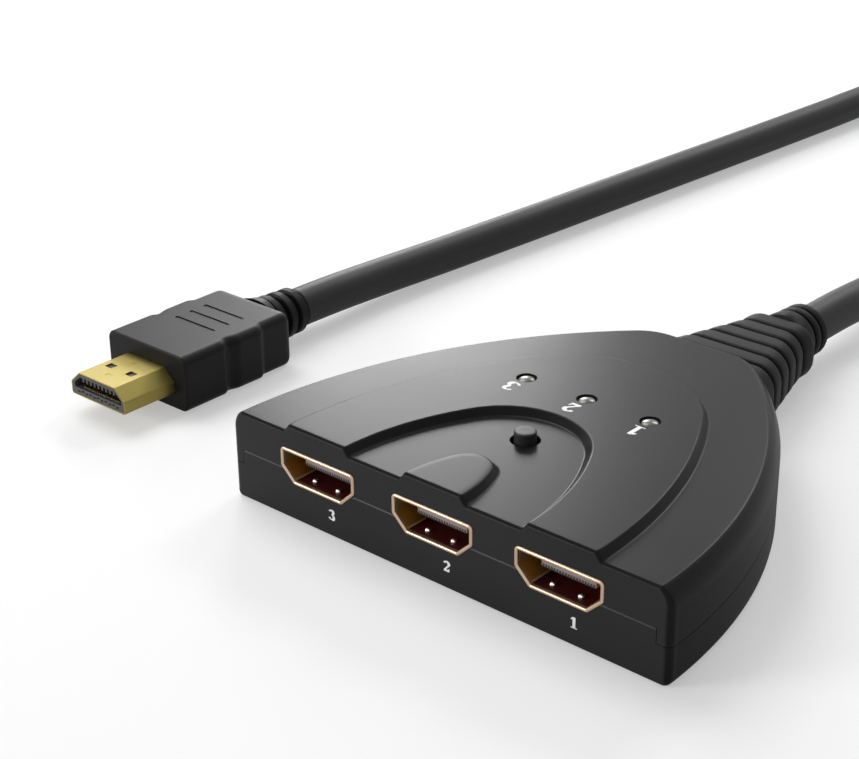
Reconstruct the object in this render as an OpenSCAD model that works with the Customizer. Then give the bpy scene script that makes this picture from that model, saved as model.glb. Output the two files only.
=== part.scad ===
// Three-input video switch box with a captive cable and plug.
// Millimetres. +Z up, +X across the front, +Y towards the cable.
// The origin lies under the middle of the box, on the surface it stands on.

/* [Case] */
// Width of the case across the front
case_w = 82; // [80:1:100]
// Length of the case from the front face to the rear wall
case_len = 68; // [64:1:82]
// Width of the flat part of the rear wall
rear_w = 11.5; // [8:0.5:18]
// Radius of the rear corners
rear_r = 10.3; // [9:0.1:14]
// Height of the low faces of the top
low_h = 14.9; // [14.5:0.1:20]
// Height of the raised faces above the low ones
step_h = 1.2; // [0.6:0.1:2.4]
// Horizontal run of the sloping flank of each step
flank = 0.9; // [0.3:0.1:1.5]
// Wall thickness
wall = 1.8; // [1.4:0.1:2.2]
// Radius of the rounded shoulder along the sides and rear
shoulder_r = 2.6; // [1:0.1:3.2]
// Radius of the rounded foot along the sides and rear
foot_r = 1.2; // [0.4:0.1:1.6]
// Bevel along the top of the front face
front_bevel = 0.6; // [0.2:0.1:1]
// Radius of the upright front corners
corner_r = 1.5; // [0.5:0.1:3]
// Height of the seam across the front
seam_front = 8.5; // [7.6:0.1:10.8]
// Height of the seam along the sides and rear
seam_side = 6.2; // [4.6:0.1:7.4]
// Distance from the side walls at which the front seam steps down
seam_tab = 2.3; // [1.9:0.1:6]
// Gap left between the two shells along the seam
seam_gap = 0.1; // [0.05:0.05:0.3]

/* [Top steps] */
// Width of the outer raised face at the front
outer_w = 59.2; // [48:0.2:68]
// Length of the outer raised face
outer_len = 52.3; // [44:0.1:58]
// Tip radius of the outer raised face
outer_tip = 20.9; // [14:0.1:23]
// Width of the sunk face at the front
sunk_w = 34.1; // [26:0.1:40]
// Length of the sunk face
sunk_len = 28.7; // [25:0.1:31]
// Tip radius of the sunk face
sunk_tip = 12.8; // [8:0.1:12.9]
// Width of the front pad
pad_w = 12.4; // [8:0.1:20]
// Length of the front pad
pad_len = 12.2; // [8:0.1:15]
// Tip radius of the front pad
pad_tip = 4.6; // [2:0.1:6]

/* [Sockets] */
// Distance between neighbouring sockets
socket_pitch = 22.7; // [18:0.1:26]
// Height of the socket centres
socket_z = 9.3; // [8.7:0.1:9.6]
// Width of the socket mouth on its wide side
mouth_w = 14; // [13.8:0.05:15]
// Width of the socket mouth on its narrow side
mouth_narrow_w = 9.4; // [8.6:0.1:10.4]
// Height of the socket mouth
mouth_h = 4.6; // [4.4:0.05:4.9]
// Height of the sloping part of the socket sides
mouth_slope_h = 2.2; // [1.4:0.1:2.8]
// Sheet thickness of the socket shells
sheet = 0.3; // [0.2:0.05:0.4]
// Depth of the socket shells
socket_depth = 12; // [10.5:0.1:13.5]
// Clearance round the sockets in the case
socket_clear = 0.15; // [0.05:0.05:0.4]

/* [Board] */
// Thickness of the circuit board
board_t = 1.6; // [1:0.1:2]
// Gap between the board's edge and the case wall
board_gap = 0.6; // [0.3:0.1:1.5]
// Distance of the board's rear edge from the front face
board_end = 49; // [47:0.5:51]

/* [Lights and button] */
// Distance of the lights from the front face
led_y = 35.8; // [34.8:0.1:40]
// Distance between neighbouring lights
led_pitch = 11.8; // [8:0.1:14]
// Diameter of the lights
led_d = 3; // [2.4:0.1:3.4]
// Gap round the lights in the top
led_clear = 0.2; // [0.1:0.05:0.5]
// Depth of the lights' tips below the raised face
led_sink = 0.25; // [0:0.05:0.8]
// Distance of the button from the front face
button_y = 20.9; // [19.5:0.1:21]
// Diameter of the button
button_d = 3.4; // [2.6:0.1:3.6]
// Gap round the button in the top
button_clear = 0.6; // [0.2:0.05:0.9]
// Height of the button above the sunk face
button_rise = 1.6; // [0.6:0.1:2.5]
// Travel of the button
button_travel = 0.25; // [0.1:0.05:0.4]

/* [Screws] */
// Diameter of the screw shanks
screw_d = 2.2; // [1.8:0.1:2.6]
// Length of the screws under the head
screw_len = 9.5; // [7:0.5:10.5]
// Diameter of the screw heads
screw_head_d = 4.2; // [3.4:0.1:4.8]
// Height of the screw heads
screw_head_h = 1.5; // [1:0.1:1.8]

/* [Cable] */
// Diameter of the cable
cable_d = 7.3; // [6:0.1:8]
// Height of the cable where it leaves the case
cable_z = 6.2; // [5.8:0.1:6.6]
// Length of the strain relief behind the case
boot_len = 32; // [26:0.5:40]
// Length of the round neck at the end of the strain relief
boot_neck_len = 8; // [6:0.5:10]
// Width of the strain relief at the case
boot_w = 25.2; // [20:0.2:26]
// Height of the strain relief at the case
boot_h = 11; // [10:0.1:11.2]
// Width of the strain relief where its ribs end
boot_end_w = 14.4; // [12:0.1:17]
// Height of the strain relief where its ribs end
boot_end_h = 10; // [9.4:0.1:10.6]
// Number of ribs on the strain relief
boot_ribs = 6; // [4:1:8]
// Width of the grooves between the ribs
boot_groove = 1; // [0.6:0.1:1.6]
// Depth of the grooves between the ribs
boot_groove_deep = 0.9; // [0.4:0.1:1.2]

/* [Plug] */
// Width of the plug's grip
grip_w = 20; // [19:0.1:22]
// Height of the plug's grip
grip_h = 10.2; // [9.6:0.1:11.5]
// Length of the wide front part of the grip
grip_front_len = 12.5; // [9:0.5:16]
// Length of the narrower rear part of the grip
grip_rear_len = 13.5; // [11.5:0.5:16]
// Width of the narrower rear part of the grip
grip_rear_w = 17; // [15:0.1:18.6]
// Length of the plug's neck
plug_neck_len = 10; // [7:0.5:14]
// Diameter of the plug's neck
plug_neck_d = 9; // [8.6:0.1:9.4]
// Length of the plug's bare metal shell
plug_len = 11; // [9:0.1:12]
// Length of the metal shell inside the grip
plug_root = 6; // [4:0.1:8]
// Width of the metal shell on its wide side
plug_w = 13.9; // [13.6:0.05:14]
// Width of the metal shell on its narrow side
plug_narrow_w = 9.3; // [8.8:0.1:9.6]
// Height of the metal shell
plug_h = 4.45; // [4.3:0.05:4.6]
// Height of the sloping part of the metal shell
plug_slope_h = 2.1; // [1.6:0.1:2.6]

/* [Hidden] */
$fn = 64;
eps = 0.01;
reach = 200;
fit = 0.1;
shoulder_cuts = 6;
foot_cuts = 4;
// An arc that runs on from another is drawn in by this much, so that their faces stay apart
join_step = 0.04;

// Plan of the case: side arcs, rear corner arcs and the flat rear wall
total_len = case_len + boot_len;
half_w = case_w / 2;
corner_x = rear_w / 2;
corner_y = case_len - rear_r;
side_in = half_w - corner_x;
side_r = (side_in * side_in + corner_y * corner_y - rear_r * rear_r) / (2 * (side_in - rear_r));
side_cx = half_w - side_r;
side_turn = atan2(corner_y, corner_x - side_cx);

// Heights
high_h = low_h + step_h;
ceiling = low_h - wall;
board_top = socket_z - mouth_h / 2 - sheet;
board_bottom = board_top - board_t;

// Screw places
screw_edge = 9.5;
screw_front_y = 19;
screw_rear_in = 26;
screw_rear_x = 17;
screw_spots = [
  [half_w - screw_edge, screw_front_y],
  [-half_w + screw_edge, screw_front_y],
  [screw_rear_x, case_len - screw_rear_in],
  [-screw_rear_x, case_len - screw_rear_in]
];
boss_wall = 1.5;
boss_d = screw_d + 2 * boss_wall;
head_wall = 1.2;
post_d = screw_head_d + 2 * fit + 2 * head_wall;
head_sink = 0.6;
seat_z = head_sink + screw_head_h;
slot_w = 0.7;
slot_deep = 0.6;

// Sockets
face_sink = 0.15;
socket_back = face_sink + socket_depth;
tongue_tip = 2.4;
tongue_t = 1.2;
tongue_side = 1.1;
tongue_drop = 1.5;
tongue_w = mouth_w - 2 * tongue_side;
tongue_top = mouth_h - tongue_drop;
block_t = 2.6;
block_front = socket_back - block_t;
pin_count = 19;
pin_step = 0.5;
pin_w = 0.28;
pin_t = 0.15;
pin_tip = 0.5;
pin_foot = 1;
pin_row_gap = 0.5;
leg_w = 1;
leg_in = 2.5;
leg_out = 0.5;
leg_spots = [leg_in + face_sink, socket_back - leg_in];
board_front = wall + board_gap;

// Lights
led_body = 5.3;
led_rim = 0.4;
led_rim_h = 1;
led_top = high_h - led_sink;
led_base = led_top - led_body;
lead_t = 0.5;
lead_pitch = 2.54;
lead_out = 0.8;

// Push switch
switch_w = 6;
switch_body_h = 3.5;
switch_floor = 0.8;
switch_cover_t = 0.3;
stem_flange = 0.6;
stem_flange_h = 0.8;
stem_gap = 0.15;
stem_stop = 0.3;
switch_top = board_top + switch_body_h;
stem_top = low_h + button_rise;
stem_low = switch_top - stem_stop - stem_flange_h;
stem_flange_d = button_d + 2 * stem_flange;
switch_bore = stem_flange_d + 2 * stem_gap;
dome_clear = 0.05;
dome_top = stem_low - button_travel - dome_clear;
dome_bottom = board_top + switch_floor;
dome_d = switch_bore - 2 * stem_gap;
dome_t = 0.12;
terminal_w = 0.7;
terminal_t = 0.3;
terminal_x = 3.25;
terminal_y = 2.25;

// Board parts
chip_w = 9;
chip_h = 1.2;
chip_lift = 0.15;
chip_y = button_y + switch_w / 2 + chip_w / 2 + 1.2;
chip_pins = 14;
chip_pin_step = 0.56;
chip_pin_w = 0.26;
chip_pin_t = 0.15;
chip_pin_out = 0.4;
chip_foot = 0.5;
reg_w = 6.5;
reg_d = 3.5;
reg_h = 1.6;
reg_spot = [19, 27];
cap_size = [1.6, 0.8, 0.8];
cap_spots = [[-11, 24], [-11, 27], [-11, 30], [11, 24], [11, 30], [24, 32], [-24, 32], [-19, 27]];
res_size = [1, 0.5, 0.4];
res_spots = [[-9, 41], [-6, 41], [6, 41], [9, 41], [-14, 20], [14, 20], [-16, 23], [16, 22]];

// Strain relief and cable end
boot_corner = 4;
boot_clear = 0.15;
boot_flange = 1.2;
boot_flange_t = 2;
boot_end = total_len;
boot_rib_end = total_len - boot_neck_len;
boot_rib_run = boot_rib_end - case_len;
boot_step = boot_rib_run / boot_ribs;
neck_top_d = 10;
neck_end_d = 9.6;
neck_groove_d = 8.6;
neck_rings = 3;
flange_half = boot_w / 2 + boot_flange;
flange_room = 0.15;
flange_low = wall + boot_clear;
rear_inner_r = rear_r - wall;
flange_off = flange_half + flange_room - corner_x;
flange_y = corner_y + sqrt(max(0, rear_inner_r * rear_inner_r - flange_off * flange_off));
core_end = board_end + 3;
core_clear = 0.05;
wire_d = 0.9;
wire_pitch = 1.1;
wire_count = 5;
wire_land = 3.5;

// Plug, lying on the same surface as the case
plug_x = -78;
plug_back = 0;
plug_z = grip_h / 2;
grip_back = plug_back - plug_neck_len;
grip_front = grip_back - grip_rear_len - grip_front_len;
plug_tip = grip_front - plug_len;
grip_round = 1.6;
plug_clear = 0.05;
slit_len = 10;
slit_w = 0.8;
slit_deep = 0.3;
slit_pitch = 3.4;
slit_first = 11.4;
slit_count = 3;
plug_slot_side = 1;
plug_slot_h = 1.7;
plug_slot_low = 1.35;
plug_slot_deep = 8;
plug_lip = 0.4;
plug_core_back = 1;
plug_pin_t = 0.15;
plug_pin_start = 1;
latch_w = 1.7;
latch_len = 1.5;
latch_in = 5.4;
latch_x = 2.6;
plug_neck_rings = 3;
plug_ring_w = 1.1;
plug_ring_deep = 0.7;

// Free cable: points of its centre line, from the strain relief to the plug
route = [
  [0, 50, 6.2], [0, 62, 6.1], [0, 76, 5.3], [0, 92, 4.2], [0, 110, 3.8], [0, 140, 3.8],
  [0, 170, 3.8], [-1, 197, 3.8], [-6, 215, 3.8], [-17, 229, 3.8], [-33, 235, 3.8],
  [-49, 229, 3.8], [-60, 215, 3.8], [-65, 197, 3.8], [-67, 168, 3.8], [-69, 140, 3.8],
  [-71, 115, 3.8], [-73, 90, 3.8], [-75, 65, 3.8], [-77, 40, 3.9], [-78, 23, 4.3],
  [-78, 10, 4.9], [-78, 0, 5.1]
];
route_sides = 12;
route_cut = 2;

// Moves what is drawn from the front face to the middle of the box
module place() {
  translate([0, -total_len / 2, 0]) children();
}

// Draws its children and their mirror image across the middle plane
module both() {
  children();
  mirror([1, 0, 0]) children();
}

// Right half of the plan, drawn in by a distance on its curved sides
module half_plan(inset, front) {
  intersection() {
    translate([side_cx, 0]) circle(r = side_r - inset, $fn = 360);
    polygon([
      [0, front], [half_w, front], [half_w, corner_y],
      [corner_x + (corner_x - side_cx), 2 * corner_y], [corner_x, corner_y], [0, corner_y]
    ]);
  }
  translate([corner_x, corner_y]) circle(r = rear_r - inset);
  translate([0, front]) square([corner_x, case_len - inset - front]);
}

// Plan of the case, drawn in by a distance on its curved sides
module plan(inset, front) {
  both() half_plan(inset, front);
}

// Upright section of the case's edge, out to a radius, with the rounded foot and shoulder
module edge_section(r) {
  polygon(concat(
    [[0, 0]],
    [
      for (i = [0 : foot_cuts])
        let (a = 90 * i / foot_cuts)
        [r - foot_r * (1 - sin(a)), foot_r * (1 - cos(a))]
    ],
    [
      for (i = [0 : shoulder_cuts])
        let (a = 90 * i / shoulder_cuts)
        [r - shoulder_r * (1 - cos(a)), low_h - shoulder_r * (1 - sin(a))]
    ],
    [[0, low_h]]
  ));
}

// Low top body: side arcs, rear corner arcs and flat rear, all with the shoulder
module low_body() {
  far_y = corner_y + (reach - corner_x) * tan(side_turn);
  intersection() {
    translate([side_cx, 0, 0]) rotate_extrude($fn = 360) edge_section(side_r);
    translate([-side_cx, 0, 0]) rotate_extrude($fn = 360) edge_section(side_r);
    linear_extrude(height = reach)
      polygon([
        [-reach, 0], [reach, 0], [reach, far_y],
        [corner_x, corner_y], [-corner_x, corner_y], [-reach, far_y]
      ]);
  }
  both()
    intersection() {
      translate([corner_x, corner_y, 0]) rotate_extrude($fn = 96) edge_section(rear_r - join_step);
      linear_extrude(height = reach)
        polygon([[corner_x, corner_y], [reach, far_y], [reach, reach], [corner_x, reach]]);
    }
  translate([0, corner_y, 0])
    rotate([90, 0, 90])
      linear_extrude(height = 2 * corner_x, center = true) edge_section(rear_r - join_step);
}

// Solid that a front bevel leaves, up to a height
module bevel_room(h) {
  rotate([90, 0, 90])
    linear_extrude(height = reach, center = true)
      polygon([
        [0, -1], [0, h - front_bevel], [front_bevel, h], [reach, h], [reach, -1]
      ]);
}

// Arch-shaped raised or sunk face: two side arcs and a tip arc, with sloping flanks
module arch(w, len, tip, low, high, run) {
  hw = w / 2;
  tip_y = len - tip;
  arc_r = (hw * hw + tip_y * tip_y - tip * tip) / (2 * (hw - tip));
  arc_x = hw - arc_r;
  turn = atan2(tip_y, -arc_x);
  h = high - low;
  intersection() {
    translate([arc_x, 0, low]) cylinder(r1 = arc_r, r2 = arc_r - run, h = h, $fn = 360);
    translate([-arc_x, 0, low]) cylinder(r1 = arc_r, r2 = arc_r - run, h = h, $fn = 360);
    translate([0, 0, low])
      linear_extrude(height = h)
        polygon([
          [-half_w, -1], [half_w, -1],
          [half_w, tip_y + half_w * tan(turn)], [0, tip_y], [-half_w, tip_y + half_w * tan(turn)]
        ]);
  }
  intersection() {
    translate([0, tip_y, low])
      cylinder(r1 = tip - join_step, r2 = tip - join_step - run, h = h, $fn = 180);
    translate([0, 0, low])
      linear_extrude(height = h)
        polygon([
          [0, tip_y], [half_w, tip_y + half_w * tan(turn)], [half_w, case_len],
          [-half_w, case_len], [-half_w, tip_y + half_w * tan(turn)]
        ]);
  }
}

// Raised or sunk arch whose flank starts a little below or above its face
module raised(w, len, tip) {
  more = flank * wall / 2 / step_h;
  arch(w + 2 * more, len + more, tip + more, low_h - wall / 2, high_h, flank + more);
}
module sunk(w, len, tip) {
  less = flank * (step_h + wall) / step_h;
  mirror([0, 0, 1])
    translate([0, 0, -low_h - high_h - wall])
      arch(w + 2 * (less - flank), len + less - flank, tip + less - flank,
           low_h, high_h + wall, less);
}

// Outside of the whole case
module case_outside() {
  difference() {
    union() {
      intersection() {
        low_body();
        bevel_room(low_h);
      }
      intersection() {
        difference() {
          raised(outer_w, outer_len, outer_tip);
          sunk(sunk_w, sunk_len, sunk_tip);
        }
        bevel_room(high_h);
      }
      intersection() {
        raised(pad_w, pad_len, pad_tip);
        bevel_room(high_h);
      }
    }
    both() corner_cut();
  }
}

// What is cut off each upright front corner
module corner_cut() {
  difference() {
    translate([half_w - corner_r, -corner_r, -1]) cube([2 * corner_r, 2 * corner_r, reach]);
    translate([half_w - corner_r, corner_r, -2]) cylinder(r = corner_r, h = 2 * reach);
  }
}

// Room inside the case
module case_inside(low, high) {
  translate([0, 0, low]) linear_extrude(height = high - low) plan(wall, wall);
}

// Space of the bottom shell, grown by a distance upwards and sideways
module below_seam(grow) {
  translate([-reach / 2, -reach / 2, -1]) cube([reach, reach, seam_side + grow + 1]);
  translate([-half_w + seam_tab - grow, -1, -1])
    cube([case_w - 2 * seam_tab + 2 * grow, wall + 1 + grow, seam_front + grow + 1]);
}

// Mouth outline of a socket or plug: wide on top, drawn out by a distance
function mouth_points(w, narrow, h, slope_h, grow) =
  let (
    hw = w / 2,
    nw = narrow / 2,
    dx = hw - nw,
    len = sqrt(dx * dx + slope_h * slope_h),
    ox = nw + grow * slope_h / len,
    oz = -grow * dx / len,
    t_side = (hw + grow - ox) / dx,
    t_low = (-grow - oz) / slope_h,
    side_z = oz + t_side * slope_h,
    low_x = ox + t_low * dx
  )
  [
    [-hw - grow, h + grow], [-hw - grow, side_z], [-low_x, -grow],
    [low_x, -grow], [hw + grow, side_z], [hw + grow, h + grow]
  ];

// Straight bar of an outline along Y
module bar(points, from, to) {
  translate([0, to, 0])
    rotate([90, 0, 0])
      linear_extrude(height = to - from) polygon(points);
}

// Socket outline grown by a distance, as a bar along Y
module socket_bar(grow, from, to) {
  translate([0, 0, socket_z - mouth_h / 2])
    bar(mouth_points(mouth_w, mouth_narrow_w, mouth_h, mouth_slope_h, grow), from, to);
}

// Draws its children at the places of all three sockets
module at_sockets() {
  for (i = [-1, 0, 1]) translate([i * socket_pitch, 0, 0]) children();
}

// Rounded bar along Y: width, height, corner radius
module round_bar(w, h, r, from, to) {
  translate([0, to, 0])
    rotate([90, 0, 0])
      linear_extrude(height = to - from) {
        square([w - 2 * r, h], center = true);
        square([w, h - 2 * r], center = true);
        for (x = [-1, 1], z = [-1, 1])
          translate([x * (w / 2 - r), z * (h / 2 - r)]) circle(r = r);
      }
}

// Opening for the strain relief in the rear wall
module boot_opening() {
  translate([0, 0, cable_z])
    round_bar(boot_w + 2 * boot_clear, boot_h + 2 * boot_clear, boot_corner + boot_clear,
              flange_y, case_len + wall);
}

// Upper half of the case with the stepped top
module top_shell() {
  color([0.2, 0.2, 0.21])
    place()
      difference() {
        union() {
          difference() {
            case_outside();
            case_inside(-1, ceiling);
          }
          for (p = screw_spots)
            translate([p[0], p[1], board_top]) cylinder(d = boss_d, h = ceiling - board_top + eps);
        }
        below_seam(seam_gap);
        at_sockets() socket_bar(sheet + socket_clear, -1, wall + 1);
        for (i = [-1, 0, 1])
          translate([i * led_pitch, led_y, ceiling - 1])
            cylinder(d = led_d + 2 * led_clear, h = high_h - ceiling + 2);
        translate([0, button_y, ceiling - 1])
          cylinder(d = button_d + 2 * button_clear, h = high_h - ceiling + 2);
        for (p = screw_spots)
          translate([p[0], p[1], board_top - 1])
            cylinder(d = screw_d + fit, h = seat_z + screw_len + fit - board_top + 1);
        boot_opening();
      }
}

// Lower half of the case with the board posts
module bottom_shell() {
  color([0.13, 0.13, 0.14])
    place()
      difference() {
        union() {
          intersection() {
            difference() {
              case_outside();
              case_inside(wall, low_h);
            }
            below_seam(0);
          }
          for (p = screw_spots)
            translate([p[0], p[1], wall - eps]) cylinder(d = post_d, h = board_bottom - wall + eps);
        }
        at_sockets() socket_bar(sheet + socket_clear, -1, wall + 1);
        for (p = screw_spots) {
          translate([p[0], p[1], -1]) cylinder(d = screw_d + 2 * fit, h = board_top);
          translate([p[0], p[1], -1]) cylinder(d = screw_head_d + 2 * fit, h = seat_z + 1);
        }
        boot_opening();
      }
}

// Screws from below that clamp the shells and the board
module case_screws() {
  color([0.75, 0.76, 0.78])
    place()
      for (p = screw_spots)
        translate([p[0], p[1], 0])
          difference() {
            union() {
              translate([0, 0, head_sink]) cylinder(d = screw_head_d, h = screw_head_h);
              translate([0, 0, seat_z - eps]) cylinder(d = screw_d, h = screw_len + eps);
            }
            for (a = [0, 90])
              rotate([0, 0, a])
                translate([-screw_head_d / 3, -slot_w / 2, head_sink - 1])
                  cube([screw_head_d * 2 / 3, slot_w, slot_deep + 1]);
          }
}

// Board cut to the case, with the holes for screws, legs and leads
module circuit_board() {
  color([0.05, 0.3, 0.15])
    place()
      difference() {
        translate([0, 0, board_bottom])
          linear_extrude(height = board_t)
            intersection() {
              plan(wall + board_gap, board_front);
              translate([-half_w, 0]) square([case_w, board_end]);
            }
        for (p = screw_spots)
          translate([p[0], p[1], 0]) cylinder(d = screw_d + 4 * fit, h = reach);
        at_sockets()
          for (y = leg_spots, s = [-1, 1])
            translate([s * (mouth_w / 2 + sheet / 2), y, board_bottom + board_t / 2])
              cube([sheet + 4 * fit, leg_w + 4 * fit, 2 * board_t], center = true);
        for (i = [-1, 0, 1], s = [-1, 1])
          translate([i * led_pitch + s * lead_pitch / 2, led_y, 0])
            cylinder(d = lead_t * sqrt(2) + 2 * fit, h = reach);
        for (x = [-1, 1], y = [-1, 1])
          translate([x * terminal_x, button_y + y * terminal_y, board_bottom + board_t / 2])
            cube([terminal_t + 4 * fit, terminal_w + 4 * fit, 2 * board_t], center = true);
      }
}

// Metal shell of a socket with its solder legs
module socket_shell() {
  difference() {
    socket_bar(sheet, face_sink, socket_back);
    socket_bar(0, face_sink - 1, socket_back + 1);
  }
  side_foot = socket_z - mouth_h / 2 + mouth_slope_h;
  for (y = leg_spots, s = [-1, 1])
    translate([s * (mouth_w / 2 + sheet / 2), y, (board_bottom - leg_out + side_foot) / 2])
      cube([sheet, leg_w, side_foot - board_bottom + leg_out], center = true);
}

// Plastic core of a socket with its contact tongue
module socket_insulator() {
  difference() {
    union() {
      socket_bar(-core_clear, block_front, socket_back);
      translate([-tongue_w / 2, face_sink + tongue_tip, socket_z - mouth_h / 2 + tongue_top - tongue_t])
        cube([tongue_w, block_front - face_sink - tongue_tip + eps, tongue_t]);
    }
    for (s = [0, 1])
      translate([
        -pin_count * pin_step / 2, block_front - eps,
        socket_z - mouth_h / 2 + tongue_top - s * (tongue_t + pin_t + fit)
      ])
        cube([pin_count * pin_step, block_t + 1, pin_t + fit]);
  }
}

// Spring contacts of a socket: two rows on the tongue, with tails on the board
module socket_contacts() {
  base = socket_z - mouth_h / 2 + tongue_top;
  for (i = [0 : pin_count - 1]) {
    up = i % 2 == 0;
    z = up ? base : base - tongue_t - pin_t;
    back = socket_back + (up ? 2 * pin_row_gap : pin_row_gap);
    translate([(i - (pin_count - 1) / 2) * pin_step - pin_w / 2, 0, 0]) {
      translate([0, face_sink + tongue_tip + pin_tip, z])
        cube([pin_w, back - face_sink - tongue_tip - pin_tip, pin_t]);
      translate([0, back - pin_t, board_top]) cube([pin_w, pin_t, z + pin_t - board_top]);
      translate([0, back - pin_t, board_top]) cube([pin_w, pin_foot, pin_t]);
    }
  }
}

// Light: a clear body with a domed tip and a base rim
module light(i) {
  translate([i * led_pitch, led_y, led_base])
    rotate_extrude() {
      square([led_d / 2, led_body - led_d / 2]);
      square([led_d / 2 + led_rim, led_rim_h]);
      intersection() {
        translate([0, led_body - led_d / 2]) circle(d = led_d);
        square([led_d, led_body]);
      }
    }
}

// Wire leads that carry the three lights
module led_leads() {
  color([0.8, 0.8, 0.8])
    place()
      for (i = [-1, 0, 1], s = [-1, 1])
        translate([
          i * led_pitch + s * lead_pitch / 2 - lead_t / 2, led_y - lead_t / 2, board_bottom - lead_out
        ])
          cube([lead_t, lead_t, led_base - board_bottom + lead_out]);
}

// Button stem with the flange that keeps it in the switch
module select_button() {
  color([0.22, 0.22, 0.22])
    place()
      translate([0, button_y, stem_low]) {
        cylinder(d = button_d, h = stem_top - stem_low);
        cylinder(d = stem_flange_d, h = stem_flange_h);
      }
}

// Body of the push switch on the board
module switch_housing() {
  color([0.1, 0.1, 0.1])
    place()
      translate([0, button_y, board_top])
        difference() {
          translate([-switch_w / 2, -switch_w / 2, 0]) cube([switch_w, switch_w, switch_body_h]);
          translate([0, 0, switch_floor]) cylinder(d = switch_bore, h = switch_body_h);
        }
}

// Metal cover of the push switch
module switch_cover() {
  color([0.8, 0.8, 0.8])
    place()
      translate([0, button_y, switch_top])
        difference() {
          translate([-switch_w / 2, -switch_w / 2, 0]) cube([switch_w, switch_w, switch_cover_t]);
          translate([0, 0, -1]) cylinder(d = button_d + 2 * stem_gap, h = switch_cover_t + 2);
        }
}

// Snap dome under the button stem
module switch_dome() {
  rise = dome_top - dome_bottom;
  ball = (dome_d * dome_d / 4 + rise * rise) / (2 * rise);
  color([0.85, 0.8, 0.65])
    place()
      translate([0, button_y, dome_top - ball])
        intersection() {
          difference() {
            sphere(r = ball, $fn = 128);
            sphere(r = ball - dome_t, $fn = 128);
          }
          translate([0, 0, ball - rise]) cylinder(d = dome_d, h = rise + 1);
        }
}

// Solder terminals of the push switch
module switch_terminals() {
  color([0.8, 0.8, 0.8])
    place()
      for (x = [-1, 1], y = [-1, 1])
        translate([x * terminal_x, button_y + y * terminal_y, 0]) {
          translate([-terminal_t / 2, -terminal_w / 2, board_bottom - lead_out])
            cube([terminal_t, terminal_w, board_top + 1 - board_bottom + lead_out]);
        }
}

// Signal chip on the board
module switch_chip() {
  color([0.08, 0.08, 0.08])
    place()
      translate([-chip_w / 2, chip_y - chip_w / 2, board_top + chip_lift])
        cube([chip_w, chip_w, chip_h]);
}

// Bent legs on the four sides of the chip
module chip_leads() {
  leg_top = chip_lift + chip_h / 2;
  color([0.8, 0.8, 0.8])
    place()
      for (a = [0, 90, 180, 270], i = [0 : chip_pins - 1])
        translate([0, chip_y, board_top])
          rotate([0, 0, a])
            translate([chip_w / 2, (i - (chip_pins - 1) / 2) * chip_pin_step + chip_pin_w / 2, 0])
              rotate([90, 0, 0])
                linear_extrude(height = chip_pin_w)
                  polygon([
                    [0, leg_top], [chip_pin_out, leg_top], [chip_pin_out, chip_pin_t],
                    [chip_pin_out + chip_foot, chip_pin_t], [chip_pin_out + chip_foot, 0],
                    [chip_pin_out - chip_pin_t, 0], [chip_pin_out - chip_pin_t, leg_top - chip_pin_t],
                    [0, leg_top - chip_pin_t]
                  ]);
}

// Voltage regulator on the board
module regulator() {
  color([0.09, 0.09, 0.09])
    place()
      translate([reg_spot[0] - reg_w / 2, reg_spot[1] - reg_d / 2, board_top])
        cube([reg_w, reg_d, reg_h]);
}

// Small capacitors on the board
module capacitors() {
  color([0.7, 0.6, 0.45])
    place()
      for (p = cap_spots)
        translate([p[0] - cap_size[0] / 2, p[1] - cap_size[1] / 2, board_top]) cube(cap_size);
}

// Small resistors on the board
module resistors() {
  color([0.12, 0.12, 0.12])
    place()
      for (p = res_spots)
        translate([p[0] - res_size[0] / 2, p[1] - res_size[1] / 2, board_top]) cube(res_size);
}

// Ribbed strain relief, held in the rear wall by its inner flange
module cable_boot() {
  color([0.16, 0.16, 0.17])
    place()
      translate([0, 0, cable_z])
        difference() {
          union() {
            intersection() {
              round_bar(boot_w + 2 * boot_flange, boot_h, boot_corner,
                        flange_y - boot_flange_t, flange_y + eps);
              translate([-reach / 2, 0, flange_low - cable_z]) cube(reach);
            }
            round_bar(boot_w, boot_h, boot_corner, flange_y, case_len + eps);
            for (i = [0 : boot_ribs - 1]) {
              t = i / (boot_ribs - 1);
              w = boot_w + t * (boot_end_w - boot_w);
              h = boot_h + t * (boot_end_h - boot_h);
              y = case_len + i * boot_step;
              round_bar(w, h, boot_corner, y, y + boot_step - boot_groove);
              round_bar(w - 2 * boot_groove_deep, h - 2 * boot_groove_deep,
                        boot_corner - boot_groove_deep / 2, y - eps, y + boot_step + eps);
            }
            for (i = [0 : neck_rings - 1]) {
              step = boot_neck_len / neck_rings;
              y = boot_rib_end + i * step;
              d = neck_top_d + i / (neck_rings - 1) * (neck_end_d - neck_top_d);
              translate([0, y + step, 0])
                rotate([90, 0, 0]) cylinder(d = d, h = step - boot_groove);
              translate([0, y + step, 0]) rotate([90, 0, 0]) cylinder(d = neck_groove_d, h = step + eps);
            }
          }
          translate([0, boot_end + 1, 0])
            rotate([90, 0, 0]) cylinder(d = cable_d + 2 * core_clear, h = reach);
        }
}

// Cable inside the strain relief and the case
module cable_core() {
  color([0.07, 0.07, 0.07])
    place()
      translate([0, boot_end, cable_z])
        rotate([90, 0, 0]) cylinder(d = cable_d, h = boot_end - core_end);
}

// Wires from the cable's end to the board
module cable_wires() {
  color([0.75, 0.2, 0.15])
    place()
      for (i = [0 : wire_count - 1])
        translate([(i - (wire_count - 1) / 2) * wire_pitch, core_end, board_top + wire_d / 2])
          rotate([90, 0, 0]) cylinder(d = wire_d, h = core_end - board_end + wire_land);
}

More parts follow.
